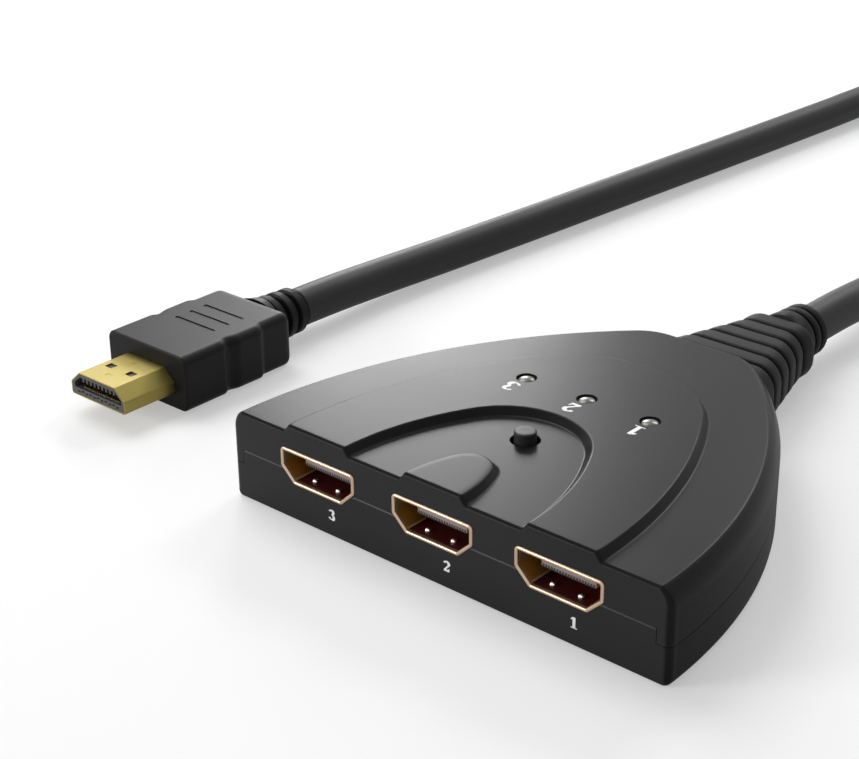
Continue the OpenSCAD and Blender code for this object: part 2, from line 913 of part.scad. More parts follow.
// Smooth point on the route between point i and the next
function route_point(i, t) =
  let (
    last = len(route) - 1,
    a = route[max(0, i - 1)],
    b = route[i],
    c = route[min(last, i + 1)],
    d = route[min(last, i + 2)]
  )
  0.5 * (2 * b + (c - a) * t + (2 * a - 5 * b + 4 * c - d) * t * t
         + (3 * b - a - 3 * c + d) * t * t * t);

// Sweeps a round tube along a list of points, with square ends along Y
module tube(points, d, sides) {
  n = len(points);
  dirs = [
    for (i = [0 : n - 1])
      i == 0 ? [0, 1, 0] : i == n - 1 ? [0, -1, 0] : points[i + 1] - points[i - 1]
  ];
  rings = [
    for (i = [0 : n - 1])
      let (
        f = dirs[i] / norm(dirs[i]),
        s = cross(f, [0, 0, 1]) / norm(cross(f, [0, 0, 1])),
        u = cross(s, f)
      )
      for (k = [0 : sides - 1])
        let (a = 360 * k / sides)
        points[i] + d / 2 * (cos(a) * s + sin(a) * u)
  ];
  walls = [
    for (i = [0 : n - 2], k = [0 : sides - 1])
      let (p = i * sides + k, q = i * sides + (k + 1) % sides)
      each [[p, q, q + sides], [p, q + sides, p + sides]]
  ];
  start = [for (k = [1 : sides - 2]) [0, k + 1, k]];
  finish = [for (k = [1 : sides - 2]) [0, k, k + 1] + (n - 1) * sides * [1, 1, 1]];
  polyhedron(points = rings, faces = concat(walls, start, finish));
}

// Free cable from the strain relief to the plug
module cable() {
  points = [
    for (i = [0 : len(route) - 2], k = [0 : route_cut - 1]) route_point(i, k / route_cut),
    route[len(route) - 1]
  ];
  color([0.07, 0.07, 0.07]) tube(points, cable_d, route_sides);
}

// Draws its children at the plug, turned with the wide side down
module at_plug() {
  translate([plug_x, 0, plug_z]) rotate([0, 180, 0]) children();
}

// Plug outline grown by a distance, as a bar along Y
module plug_bar(grow, from, to) {
  translate([0, 0, -plug_h / 2])
    bar(mouth_points(plug_w, plug_narrow_w, plug_h, plug_slope_h, grow), from, to);
}

// Moulded grip and neck of the plug
module plug_body() {
  color([0.09, 0.09, 0.09])
    at_plug()
      difference() {
        union() {
          round_bar(grip_w, grip_h, grip_round, grip_front, grip_front + grip_front_len);
          round_bar(grip_rear_w, grip_h, grip_round, grip_front + grip_front_len - eps, grip_back);
          translate([0, plug_back, 0])
            rotate([90, 0, 0]) cylinder(d = plug_neck_d, h = plug_neck_len + eps);
        }
        plug_bar(plug_clear, grip_front - 1, grip_front + plug_root);
        for (i = [0 : slit_count - 1], s = [-1, 1])
          translate([0, grip_front + slit_first + i * slit_pitch, s * grip_h / 2])
            cube([slit_len, slit_w, 2 * slit_deep], center = true);
        for (i = [0 : plug_neck_rings - 1])
          translate([0, grip_back + (i + 0.5) * plug_neck_len / plug_neck_rings + plug_ring_w / 2, 0])
            rotate([90, 0, 0])
              difference() {
                cylinder(d = plug_neck_d + 2, h = plug_ring_w);
                translate([0, 0, -1])
                  cylinder(d = plug_neck_d - 2 * plug_ring_deep, h = plug_ring_w + 2);
              }
      }
}

// Metal shell of the plug with its two latch windows
module plug_shell() {
  color([0.85, 0.68, 0.3])
    at_plug()
      difference() {
        plug_bar(0, plug_tip, grip_front + plug_root);
        plug_bar(-sheet, plug_tip - 1, grip_front + plug_root + 1);
        for (x = [-1, 1])
          translate([x * latch_x, plug_tip + latch_in, -plug_h / 2])
            cube([latch_w, latch_len, 4 * sheet], center = true);
      }
}

// Plastic core of the plug with the slot for the socket's tongue
module plug_insulator() {
  color([0.25, 0.25, 0.26])
    at_plug()
      difference() {
        plug_bar(-sheet - plug_clear, plug_tip + plug_lip, grip_front + plug_root - plug_core_back);
        translate([
          -plug_w / 2 + plug_slot_side, plug_tip - 1, -plug_h / 2 + plug_h - plug_slot_low - plug_slot_h
        ])
          cube([plug_w - 2 * plug_slot_side, plug_slot_deep + plug_lip + 1, plug_slot_h]);
      }
}

// Contacts of the plug on both faces of its slot
module plug_contacts() {
  top = plug_h / 2 - plug_slot_low;
  color([0.9, 0.75, 0.4])
    at_plug()
      for (i = [0 : pin_count - 1])
        translate([
          (i - (pin_count - 1) / 2) * pin_step - pin_w / 2,
          plug_tip + plug_lip + plug_pin_start,
          i % 2 == 0 ? top - plug_pin_t : top - plug_slot_h
        ])
          cube([pin_w, plug_slot_deep - plug_pin_start, plug_pin_t]);
}

// Pieces of the input at a place: -1 left, 0 middle, 1 right
module input_shell(i) {
  color([0.8, 0.62, 0.42]) place() translate([i * socket_pitch, 0, 0]) socket_shell();
}
module input_insulator(i) {
  color([0.2, 0.19, 0.19]) place() translate([i * socket_pitch, 0, 0]) socket_insulator();
}
module input_contacts(i) {
  color([0.85, 0.7, 0.4]) place() translate([i * socket_pitch, 0, 0]) socket_contacts();
}
module led(i) {
  color([0.75, 0.78, 0.72]) place() light(i);
}

top_shell();
bottom_shell();
case_screws();
circuit_board();
input_shell(1);  // input_1_shell
input_insulator(1);  // input_1_insulator
input_contacts(1);  // input_1_contacts
input_shell(0);  // input_2_shell
input_insulator(0);  // input_2_insulator
input_contacts(0);  // input_2_contacts
input_shell(-1);  // input_3_shell
input_insulator(-1);  // input_3_insulator
input_contacts(-1);  // input_3_contacts
led(1);  // led_1
led(0);  // led_2
led(-1);  // led_3
led_leads();
select_button();
switch_housing();
switch_cover();
switch_dome();
switch_terminals();
switch_chip();
chip_leads();
regulator();
capacitors();
resistors();
cable_boot();
cable_core();
cable_wires();
cable();
plug_body();
plug_shell();
plug_insulator();
plug_contacts();
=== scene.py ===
import math

import bmesh
import bpy
from mathutils import Matrix, Vector
from mathutils.geometry import interpolate_bezier


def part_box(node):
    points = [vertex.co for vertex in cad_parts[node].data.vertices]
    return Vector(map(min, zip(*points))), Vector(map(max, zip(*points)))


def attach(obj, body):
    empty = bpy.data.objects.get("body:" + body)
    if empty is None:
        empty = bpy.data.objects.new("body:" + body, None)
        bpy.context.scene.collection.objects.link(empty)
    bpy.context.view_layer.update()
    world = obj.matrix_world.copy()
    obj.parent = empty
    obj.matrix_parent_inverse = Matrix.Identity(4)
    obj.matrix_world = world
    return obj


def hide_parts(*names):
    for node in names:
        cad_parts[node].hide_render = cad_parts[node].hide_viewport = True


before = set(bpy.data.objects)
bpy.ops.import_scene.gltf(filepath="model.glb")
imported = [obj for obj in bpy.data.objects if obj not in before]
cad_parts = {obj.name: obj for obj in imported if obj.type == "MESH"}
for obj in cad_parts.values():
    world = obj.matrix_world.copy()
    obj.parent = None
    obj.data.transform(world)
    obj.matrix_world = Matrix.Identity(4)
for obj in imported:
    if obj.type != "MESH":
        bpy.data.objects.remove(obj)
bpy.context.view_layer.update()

# Everything is written in millimetres and made in metres
MM = 0.001

# Camera at the photograph's viewing angle
CAMERA_AT = (154.3, -221.8, 141.2)
CAMERA_TURN, CAMERA_RISE, CAMERA_ROLL = 41.94, 25.25, -0.75
LENS, SENSOR, NEAR_CLIP = 78.65, 36, 0.005

# Case, measured from the middle of the front face's foot
FRONT_Y = -50
CASE_W, CASE_LEN = 82, 68
REAR_W, REAR_R = 11.5, 10.3
LOW_H, STEP_H, FLANK = 14.9, 1.2, 0.9
HIGH_H = LOW_H + STEP_H
WALL = 1.8
SHOULDER_R, SHOULDER_STOP, SHOULDER_CREASE, FOOT_R = 3.4, 66, 0.12, 1.2
CORNER_EASE, EDGE_EASE = 1.2, 0.5
STEP_EASE = 0.55
SEAM_FRONT, SEAM_SIDE, SEAM_TAB = 8.5, 6.2, 2.3
SEAM_GAP, SEAM_ROUND, SEAM_LIP, SEAM_SLOPE = 0.05, 0.1, 0.18, 30
SEAM_TAB_LOW, LIP_PAST = 1, 0.5
OUTER_STEP = (59.2, 52.3, 20.9)
SUNK_STEP = (34.1, 28.7, 12.8)
PAD_STEP = (12.4, 12.2, 4.6)
# Rows of the case's skin: how far the first and the last one run in, and the heights up the wall
FOOT_IN, PAD_IN, WALL_ROWS = 3, 1.2, (3, SEAM_SIDE + 1, 9.8)
# Room round the sockets and the strain relief, and how far cutters reach past the walls
SOCKET_ROOM, BOOT_ROOM, BOOT_WAY = 0.02, 0.3, (-5, 2)
PAST, FAR = 1, 120

# Sockets
SOCKET_PITCH, SOCKET_Z, SOCKET_DEPTH = 22.7, 9.3, 12.15
MOUTH = (14, 9.4, 4.6, 2.2)
SHEET = 0.3
RIM_W, RIM_OUT, RIM_BACK, RIM_FOLD = 0.6, 0.28, 0.6, 1
SPRING_X, SPRING_Y, SPRING_R = 2.43, 1.9, 0.5
TONGUE_W, TONGUE_LOW, TONGUE_HIGH, TONGUE_Y = 9.4, 8.95, 10.05, 2.2
TONGUE_END, TONGUE_EASE, CORE_FRONT, CORE_IN, CORE_SLIM = 9.2, 0.1, 9, 0.05, 0.02
PIN_PITCH, PIN_HALF, PIN_DROP, PIN_H, PIN_AHEAD = 0.48, 0.13, 0.06, 0.5, 0.05
PINS = range(-9, 10)
# Number of each input and the side on which it lies
INPUTS = ((1, 1), (2, 0), (3, -1))

# Lights and button
LED_Y, LED_PITCH, LED_D, LED_TOP, LED_BODY = 35.8, 11.8, 3, 16.15, 5.6
LED_HOLE, LED_DOME_H, LED_RIM, LED_RIM_H = 3.16, 0.58, 0.4, 1
BUTTON_Y, BUTTON_D, BUTTON_TOP, BUTTON_HOLE = 20.9, 3.4, 16.5, 4.5
BUTTON_FLANGE, BUTTON_FLANGE_H, BUTTON_EASE = 0.6, 0.8, 0.3
# Radius and depth of the button's shallow dish
BUTTON_DISH = ((0.6, 0.02), (0, 0.03))
HOLE_SINK, HOLE_STEPS = 0.1, 60
SCREWS = ((31.5, 19), (-31.5, 19), (17, 42), (-17, 42))
SCREW_HEAD_HOLE = 4.4

# Strain relief
CABLE_D, CABLE_Z = 7.3, 6.2
BOOT_LEN, BOOT_NECK = 32, 8
BOOT_WIDE, BOOT_SLIM = (25.2, 11), (14.4, 10)
BOOT_CORNER, BOOT_RIBS, BOOT_GROOVE, BOOT_GROOVE_DEEP = 4, 6, 0.45, 0.9
BOOT_FLANGE, BOOT_FIT, GROOVE_END, BORE_ROOM = 2, 0.15, 0.01, 0.1
# Distance from the edge of a rib and how far it is drawn in there
RIB_EASE = ((0, BOOT_GROOVE_DEEP), (0.03, 0.5), (0.1, 0.26), (0.28, 0.12), (0.6, 0.04), (1, 0))
# Distance from the last rib and the neck's diameter there
BOOT_NECK_SIZES = (
    (0, 10.6), (2.6, 10.2), (3.2, 10), (3.4, 9.7), (3.5, 8.8), (4, 8.8), (4.1, 9.6), (4.4, 9.9),
    (5.3, 9.9), (5.6, 9.6), (5.7, 8.6), (6.2, 8.6), (6.3, 9.4), (6.6, 9.7), (7.5, 9.7), (7.8, 9.5), (8, 9),
)

# Plug, in the frame's own place
PLUG_X, PLUG_Z = -78, 5.1
GRIP_FRONT, GRIP_BACK, NECK_BACK, PLUG_TIP, PLUG_ROOT = -36, -10, 0, -47, -30
GRIP_W, GRIP_H, GRIP_CORNER = 20, 10.2, 1.5
# Distance from the front of the grip and how far its sides are drawn in there
GRIP_WAIST = ((0, 0), (9, 0), (10.4, 0.65), (13, 0.05), (17.6, 0), (19, 0.75), (26, 0.75))
GRIP_FRONT_EASE, GRIP_BACK_EASE, GRIP_START, GRIP_STEP = 0.4, 1.6, 0.5, 0.3
SLITS, SLIT_FIRST, SLIT_PITCH, SLIT_LEN, SLIT_W, SLIT_DEEP = 3, 11.4, 3.4, 10, 0.8, 0.16
# Neck: distance behind the grip and diameter of its cone, then its ribs
NECK_CONE = ((0.1, 11), (0.7, 10.2), (1.7, 9.5))
NECK_RIBS, NECK_FIRST, NECK_PITCH, NECK_RIB = 3, 1.9, 2.7, 1.9
NECK_D, NECK_TAPER, NECK_TALL, NECK_END = 9.2, 0.25, 9.8, 7.6
# Distance from the edge of a neck rib and how much slimmer it is there
NECK_EASE = ((0, 1.4), (0.1, 0.5), (0.35, 0))
PLUG_MOUTH = (13.9, 9.3, 4.45, 2.1)
PLUG_ROUND, PLUG_LIP, PLUG_FIT = 0.5, 0.12, 0.05
# Tip of the plug's metal: how far out of its outline, and how far behind the tip
PLUG_EDGE = ((-SHEET + 0.04, 0.03), (-0.09, 0), (-0.03, 0.04))
# Latch windows and shallow marks in the plug's metal: place from the tip, half size and depth
WINDOW_X, WINDOW_Y, WINDOW_HALF, WINDOW_DEEP = 2.6, 5.4, (0.85, 0.75), 1
MARK_PLACES, MARK_HALF, MARK_DEEP = (2.7, 8.4), (0.6, 0.35), 0.05
# Core of the plug: its cavity, the ribs under its roof, and the slots and contacts of its plate
PLUG_ROOF, PLUG_PLATE = PLUG_Z + 1.375, PLUG_Z - 0.725
PLUG_CORE_IN, PLUG_CORE_ROUND, CAVITY_DEEP, CAVITY_ROUND = 0.06, 0.3, 8, 0.25
CAVITY = (12.2, 9.1, PLUG_ROOF - PLUG_PLATE, 1.275)
CORE_SLOTS, SLOT_HALF, SLOT_HALF_H = range(-5, 6), 0.3, 0.14
SLOT_DROP, SLOT_ZIGZAG, SLOT_DEEP = 1.3, 0.1, 0.5
CORE_RIBS, CORE_RIB_HALF, CORE_RIB_H, CORE_RIB_SUNK = range(-4, 5), 0.2, 0.9, 0.1
CORE_RIB_START, CORE_RIB_STOP = 0.3, 0.5
PLUG_PIN_PITCH, PLUG_PIN_HALF, PLUG_PIN_ENDS, PLUG_PIN_Z = 0.5, 0.14, (0.8, 7.5), (-0.05, 0.12)

# Centre line of the free cable, from the strain relief to the plug
ROUTE = (
    (0, 50, 6.2), (0, 62, 6.1), (0, 76, 5.3), (0, 92, 4.2), (0, 110, 3.8), (0, 140, 3.8),
    (0, 170, 3.8), (-1, 197, 3.8), (-6, 215, 3.8), (-17, 229, 3.8), (-33, 235, 3.8),
    (-49, 229, 3.8), (-60, 215, 3.8), (-65, 197, 3.8), (-67, 168, 3.8), (-69, 140, 3.8),
    (-71, 115, 3.8), (-73, 90, 3.8), (-75, 65, 3.8), (-77, 40, 3.9), (-78, 23, 4.3),
    (-78, 10, 4.9), (-78, 0, 5.1),
)
ROUTE_CUTS, CABLE_CUTS = 8, 8

# Points nearer than this, in metres, are one, and the largest share of a side that a corner takes
MERGE, CORNER_SHARE = 1e-7, 0.499
# Rounding at the folds of the sockets, and the least rounding of any
FOLD_ROUND, LEAST_ROUND = 0.2, 0.05


# Shaping

def arc(centre, radius, start, stop, cuts):
    """Points of an arc in a plane, both ends included, with its angles in degrees."""
    turns = [math.radians(start + (stop - start) * k / cuts) for k in range(cuts + 1)]
    return [(centre[0] + radius * math.cos(a), centre[1] + radius * math.sin(a)) for a in turns]


def rounded(corners, radii, cuts):
    """Closed outline of straight sides whose corners are rounded, each by its own radius."""
    ring = []
    for i, radius in enumerate(radii):
        corner = Vector(corners[i])
        before = (Vector(corners[i - 1]) - corner).normalized()
        after = (Vector(corners[(i + 1) % len(corners)]) - corner).normalized()
        half = before.angle(after) / 2
        middle = corner + (before + after).normalized() * radius / math.sin(half)
        first = corner + before * radius / math.tan(half) - middle
        last = corner + after * radius / math.tan(half) - middle
        start = math.degrees(math.atan2(first.y, first.x))
        sweep = math.degrees(math.atan2(last.y, last.x)) - start
        sweep = (sweep + 180) % 360 - 180
        ring += arc(middle, radius, start, start + sweep, cuts)
    return ring


def box_ring(w, h, radius, cuts=7):
    """Rectangle with rounded corners, about its middle."""
    corners = [(w / 2, -h / 2), (w / 2, h / 2), (-w / 2, h / 2), (-w / 2, -h / 2)]
    return rounded(corners, [min(radius, CORNER_SHARE * w, CORNER_SHARE * h)] * 4, cuts)


def mouth_ring(mouth, grow, fold=FOLD_ROUND, cuts=5):
    """Outline of a socket or plug about its middle: wide on top, drawn out by a distance."""
    w, narrow, h, slope_h = mouth
    dx = (w - narrow) / 2
    slope = math.hypot(dx, slope_h)
    out_x, out_z = narrow / 2 + grow * slope_h / slope, -grow * dx / slope
    side_z = out_z + (w / 2 + grow - out_x) / dx * slope_h
    low_x = out_x + (-grow - out_z) / slope_h * dx
    half = h / 2
    corners = [
        (w / 2 + grow, h + grow - half), (-w / 2 - grow, h + grow - half), (-w / 2 - grow, side_z - half),
        (-low_x, -grow - half), (low_x, -grow - half), (w / 2 + grow, side_z - half),
    ]
    return rounded(corners, [max(fold + grow, LEAST_ROUND)] * len(corners), cuts)


def skin(bm, rows):
    """Grid of faces laid over rows of points in millimetres. Returns its vertices row by row."""
    across, along = len(rows[0]), len(rows)
    verts = bmesh.ops.create_grid(bm, x_segments=across - 1, y_segments=along - 1, size=1)["verts"]
    for vert, point in zip(verts, (point for row in rows for point in row)):
        vert.co = Vector(point) * MM
    return [verts[k * across:(k + 1) * across] for k in range(along)]


def tube(bm, rings, looped=False):
    """Skin over closed rings, capped at both ends or joined from the last ring to the first."""
    rows = [ring + ring[:1] for ring in rings]
    verts = sum(skin(bm, rows + rows[:1] if looped else rows), [])
    bmesh.ops.remove_doubles(bm, verts=verts, dist=MERGE)
    if not looped:
        bmesh.ops.holes_fill(bm, edges=[e for e in bm.edges if e.is_boundary], sides=0)


def along_y(ring, y, x=0, z=0, flip=1):
    """Puts a ring of (across, up) points square to the Y axis."""
    return [(x + flip * a, y, z + flip * b) for a, b in ring]


def turned(bm, profile, centre, steps=48):
    """Spins a profile of (radius, height) points about an upright axis."""
    x, y = centre
    verts = [bm.verts.new(Vector((x + r, y, z)) * MM) for r, z in profile]
    edges = [bm.edges.new(pair) for pair in zip(verts, verts[1:])]
    bmesh.ops.spin(
        bm, geom=verts + edges, cent=Vector((x, y, 0)) * MM, axis=(0, 0, 1), dvec=(0, 0, 0),
        angle=math.tau, steps=steps, use_merge=True, use_duplicate=False,
    )
    bmesh.ops.remove_doubles(bm, verts=bm.verts, dist=MERGE)


def block(bm, low, high):
    """Box between two corners."""
    low, high = Vector(low) * MM, Vector(high) * MM
    place = Matrix.Translation((low + high) / 2) @ Matrix.Diagonal((*(high - low), 1))
    return bmesh.ops.create_cube(bm, size=1, matrix=place)["verts"]


def bars(bm, places, half, along, up):
    """Blocks at places across, each between two places along and two heights."""
    for x in places:
        block(bm, (x - half, along[0], up[0]), (x + half, along[1], up[1]))


def rod(bm, centre, radius, low, high, segments=64):
    """Upright cylinder."""
    x, y = centre
    place = Matrix.Translation(Vector((x, y, (low + high) / 2)) * MM)
    bmesh.ops.create_cone(
        bm, cap_ends=True, segments=segments, radius1=radius * MM, radius2=radius * MM,
        depth=(high - low) * MM, matrix=place,
    )


def to_object(name, bm):
    """Closes a bmesh into an object at the origin."""
    bmesh.ops.recalc_face_normals(bm, faces=bm.faces)
    mesh = bpy.data.meshes.new(name)
    bm.to_mesh(mesh)
    bm.free()
    made = bpy.data.objects.new(name, mesh)
    bpy.context.scene.collection.objects.link(made)
    return made


def made_of(name, shape, *values, **options):
    """Object that a shape function fills."""
    bm = bmesh.new()
    shape(bm, *values, **options)
    return to_object(name, bm)


def cutter(shape, *values, **options):
    """Loose object used to carve a piece."""
    return made_of("cutter", shape, *values, **options)


def freeze(made):
    """Applies an object's modifiers to its mesh."""
    graph = bpy.context.evaluated_depsgraph_get()
    mesh = bpy.data.meshes.new_from_object(made.evaluated_get(graph))
    made.modifiers.clear()
    old, made.data = made.data, mesh
    bpy.data.meshes.remove(old)


def carve(made, cutters, operation="DIFFERENCE"):
    """Cuts an object with loose objects, which go."""
    for tool in cutters:
        cut = made.modifiers.new("cut", "BOOLEAN")
        cut.solver = "EXACT"
        cut.operation = operation
        cut.object = tool
    freeze(made)
    for tool in cutters:
        bpy.data.objects.remove(tool)
    return made


def paint(mesh, look):
    """Gives a mesh one material."""
    mesh.materials.clear()
    mesh.materials.append(LOOKS[look])


def dress(made, look, replaces=(), body="case", crease=32, level=False):
    """Finishes a piece: smooth shading up to a crease angle, material, body and replaced nodes."""
    mesh = made.data
    paint(mesh, look)
    mesh.shade_smooth()
    mesh.set_sharp_from_angle(angle=math.radians(crease))
    if level:
        flat = made.modifiers.new("level", "WEIGHTED_NORMAL")
        flat.keep_sharp = True
    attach(made, body)
    if replaces:
        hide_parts(*replaces)
    return made


# Materials

def link(tree, source, target):
    """Feeds an input from a socket, or sets it to a plain value."""
    if isinstance(source, bpy.types.NodeSocket):
        tree.links.new(source, target)
    else:
        target.default_value = source


def node(tree, kind, **values):
    """New shader node with some of its inputs or settings given."""
    made = tree.nodes.new(kind)
    for name, value in values.items():
        if hasattr(made, name):
            setattr(made, name, value)
        else:
            made.inputs[name.replace("_", " ")].default_value = value
    return made


def calculate(tree, operation, *values):
    """Result of a calculation on sockets and plain values."""
    made = node(tree, "ShaderNodeMath", operation=operation)
    for socket, value in zip(made.inputs, values):
        link(tree, value, socket)
    return made.outputs["Value"]


def mix_colour(tree, share, first, second):
    """Mix of two colours, each a socket or a plain value."""
    made = node(tree, "ShaderNodeMix", data_type="RGBA")
    for name, value in (("Factor", share), ("A", first), ("B", second)):
        link(tree, value, made.inputs[name])
    return made.outputs["Result"]


def noise(tree, where, scale, detail):
    """Noise value over a place."""
    made = node(tree, "ShaderNodeTexNoise", Detail=detail)
    link(tree, where, made.inputs["Vector"])
    link(tree, scale, made.inputs["Scale"])
    return made.outputs["Fac"]


def grey(value, tint=1.0):
    """Grey whose blue is tinted."""
    return (value, value, value * tint, 1)


FLOAT, COLOUR, VECTOR = "NodeSocketFloat", "NodeSocketColor", "NodeSocketVector"
MOULD_CLOUD, MOULD_CLOUD_DETAIL, GRAIN_DETAIL, GRAIN_DEPTH = 60, 4, 2, 0.00004
PLATE_CLOUD, PLATE_CLOUD_DETAIL, LINE_DETAIL, LINE_DEPTH = 350, 5, 3, 0.00002
LINE_STRETCH = (9000, 300, 9000)


def group_of(name, inputs):
    """Shader group with named sockets. Returns it, its inputs and outputs, and the place on the object."""
    tree = bpy.data.node_groups.new(name, "ShaderNodeTree")
    for label, kind, default in inputs:
        socket = tree.interface.new_socket(label, in_out="INPUT", socket_type=kind)
        socket.default_value = default
    for label, kind in (("Colour", COLOUR), ("Roughness", FLOAT), ("Normal", VECTOR)):
        tree.interface.new_socket(label, in_out="OUTPUT", socket_type=kind)
    given, out = tree.nodes.new("NodeGroupInput"), tree.nodes.new("NodeGroupOutput")
    return tree, given.outputs, out.inputs, node(tree, "ShaderNodeTexCoord").outputs["Object"]


def fill_group(tree, out, colours, cloud, gloss, bumps):
    """Feeds a group's outputs: two colours mixed by a cloud, gloss with its spread, and fine bumps."""
    link(tree, mix_colour(tree, cloud, *colours), out["Colour"])
    link(tree, calculate(tree, "MULTIPLY_ADD", *gloss), out["Roughness"])
    height, strength, depth = bumps
    bump = node(tree, "ShaderNodeBump", Distance=depth)
    link(tree, height, bump.inputs["Height"])
    link(tree, strength, bump.inputs["Strength"])
    link(tree, bump.outputs["Normal"], out["Normal"])


def moulded_group():
    """Fine mould grain with slow changes of shade and gloss, in object space."""
    tree, given, out, where = group_of("moulded_surface", [
        ("Shade", COLOUR, grey(0.03)), ("Bloom", COLOUR, grey(0.05)),
        ("Gloss", FLOAT, 0.35), ("Gloss Spread", FLOAT, 0.1),
        ("Grain", FLOAT, 4500), ("Grain Height", FLOAT, 0.1),
    ])
    cloud = noise(tree, where, MOULD_CLOUD, MOULD_CLOUD_DETAIL)
    grain = noise(tree, where, given["Grain"], GRAIN_DETAIL)
    both = calculate(tree, "MULTIPLY", cloud, grain)
    gloss = (both, given["Gloss Spread"], given["Gloss"])
    bumps = (grain, given["Grain Height"], GRAIN_DEPTH)
    fill_group(tree, out, (given["Shade"], given["Bloom"]), cloud, gloss, bumps)
    return tree


def plated_group():
    """Rolled and plated sheet: fine lines along the piece and soft tarnish."""
    tree, given, out, where = group_of("plated_sheet", [
        ("Plate", COLOUR, (0.8, 0.6, 0.3, 1)), ("Tarnish", COLOUR, (0.6, 0.4, 0.2, 1)),
        ("Gloss", FLOAT, 0.25), ("Gloss Spread", FLOAT, 0.15), ("Line Height", FLOAT, 0.05),
    ])
    stretch = node(tree, "ShaderNodeMapping", Scale=LINE_STRETCH)
    link(tree, where, stretch.inputs["Vector"])
    lines = noise(tree, stretch.outputs["Vector"], 1, LINE_DETAIL)
    cloud = noise(tree, where, PLATE_CLOUD, PLATE_CLOUD_DETAIL)
    gloss = (lines, given["Gloss Spread"], given["Gloss"])
    bumps = (lines, given["Line Height"], LINE_DEPTH)
    fill_group(tree, out, (given["Plate"], given["Tarnish"]), cloud, gloss, bumps)
    return tree


def new_material(name):
    """Material with one Principled shader. Returns it, its tree and that shader."""
    made = bpy.data.materials.new(name)
    made.use_nodes = True
    return made, made.node_tree, made.node_tree.nodes["Principled BSDF"]


def surface(name, shared, values, specular=0.5, metallic=0.0, bumpy=True):
    """Material whose colour, roughness and normal come from a shared group, given values in its order."""
    made, tree, shader = new_material(name)
    effect = node(tree, "ShaderNodeGroup", node_tree=shared)
    for socket, value in zip(effect.inputs, values):
        socket.default_value = value
    link(tree, effect.outputs["Colour"], shader.inputs["Base Color"])
    link(tree, effect.outputs["Roughness"], shader.inputs["Roughness"])
    if bumpy:
        link(tree, effect.outputs["Normal"], shader.inputs["Normal"])
    shader.inputs["Specular IOR Level"].default_value = specular
    shader.inputs["Metallic"].default_value = metallic
    return made


# Specular level, shade, bloom, gloss, spread of the gloss, grain and its height
MOULDED_LOOKS = {
    "button_plastic": (0.2, grey(0.02), grey(0.03), 0.42, 0.1, 5000, 0.2),
    "boot_rubber": (0.08, grey(0.008), grey(0.013), 0.5, 0.15, 3500, 0.25),
    "cable_jacket": (0.2, grey(0.011), grey(0.017), 0.46, 0.12, 2500, 0.15),
    "plug_plastic": (0.1, grey(0.007), grey(0.011, 1.03), 0.4, 0.12, 4000, 0.2),
    "core_plastic": (0.4, grey(0.06), grey(0.09), 0.45, 0.1, 5000, 0.1),
    "plug_core_plastic": (0.3, grey(0.05), grey(0.07), 0.45, 0.1, 5000, 0.1),
    "tongue_plastic": (0.4, (0.24, 0.19, 0.18, 1), (0.3, 0.25, 0.24, 1), 0.45, 0.1, 5000, 0.1),
    "chip_plastic": (0.4, grey(0.02), grey(0.035), 0.5, 0.15, 6000, 0.3),
    "ceramic": (0.5, (0.5, 0.36, 0.22, 1), (0.42, 0.3, 0.18, 1), 0.35, 0.15, 5000, 0.1),
    "wire_plastic": (0.5, (0.5, 0.08, 0.05, 1), (0.4, 0.05, 0.04, 1), 0.4, 0.1, 3000, 0.1),
    "board_mask": (0.5, (0.015, 0.12, 0.04, 1), (0.025, 0.17, 0.06, 1), 0.3, 0.15, 2500, 0.15),
    "print_white": (0.3, grey(0.75), grey(0.85), 0.5, 0.1, 6000, 0.1),
    "case_plastic": (0.08, grey(0.005), grey(0.008, 1.03), 0.28, 0.1, 4500, 0.1),
}
# Plate, tarnish, gloss, spread of the gloss and height of the lines
PLATED_LOOKS = {
    "plug_gold": ((0.28, 0.235, 0.075, 1), (0.25, 0.2, 0.055, 1), 0.36, 0.16, 0.08),
    "socket_gold": ((0.55, 0.42, 0.31, 1), (0.47, 0.34, 0.24, 1), 0.28, 0.14, 0.05),
    "contact_gold": ((0.85, 0.66, 0.34, 1), (0.75, 0.55, 0.26, 1), 0.2, 0.12, 0.04),
    "spring_tin": ((0.97, 0.95, 0.93, 1), (0.93, 0.9, 0.87, 1), 0.06, 0.06, 0.02),
    "steel": (grey(0.6), grey(0.48, 1.03), 0.25, 0.15, 0.06),
}
# Shade, bloom, gloss and its spread of the lenses
LENS_LOOK = ((0.07, 0.07, 0.052, 1), (0.11, 0.11, 0.085, 1), 0.22, 0.05)
# Painted shade round the dome's edge and how far below the top it has faded, then the lens's clearness and
# index
LENS_PAINTED_SHADE, LENS_CROWN, LENS_CLEAR, LENS_IOR = (0.02, 0.02, 0.016, 1), 0.15, 0.15, 1.5

# Places between which the case's walls turn matt and its flat front is painted paler, as painted light
WALL_RAMP, BEHIND_RAMP = (LOW_H - 0.6, LOW_H - 3.5), (FRONT_Y + 0.5, FRONT_Y + 2)
PAINTED_FRONT_RAMP = (FRONT_Y + 0.12, FRONT_Y + 0.02)
WALL_ROUGH, FRONT_PAINTED_LIGHT = 0.25, 3.3
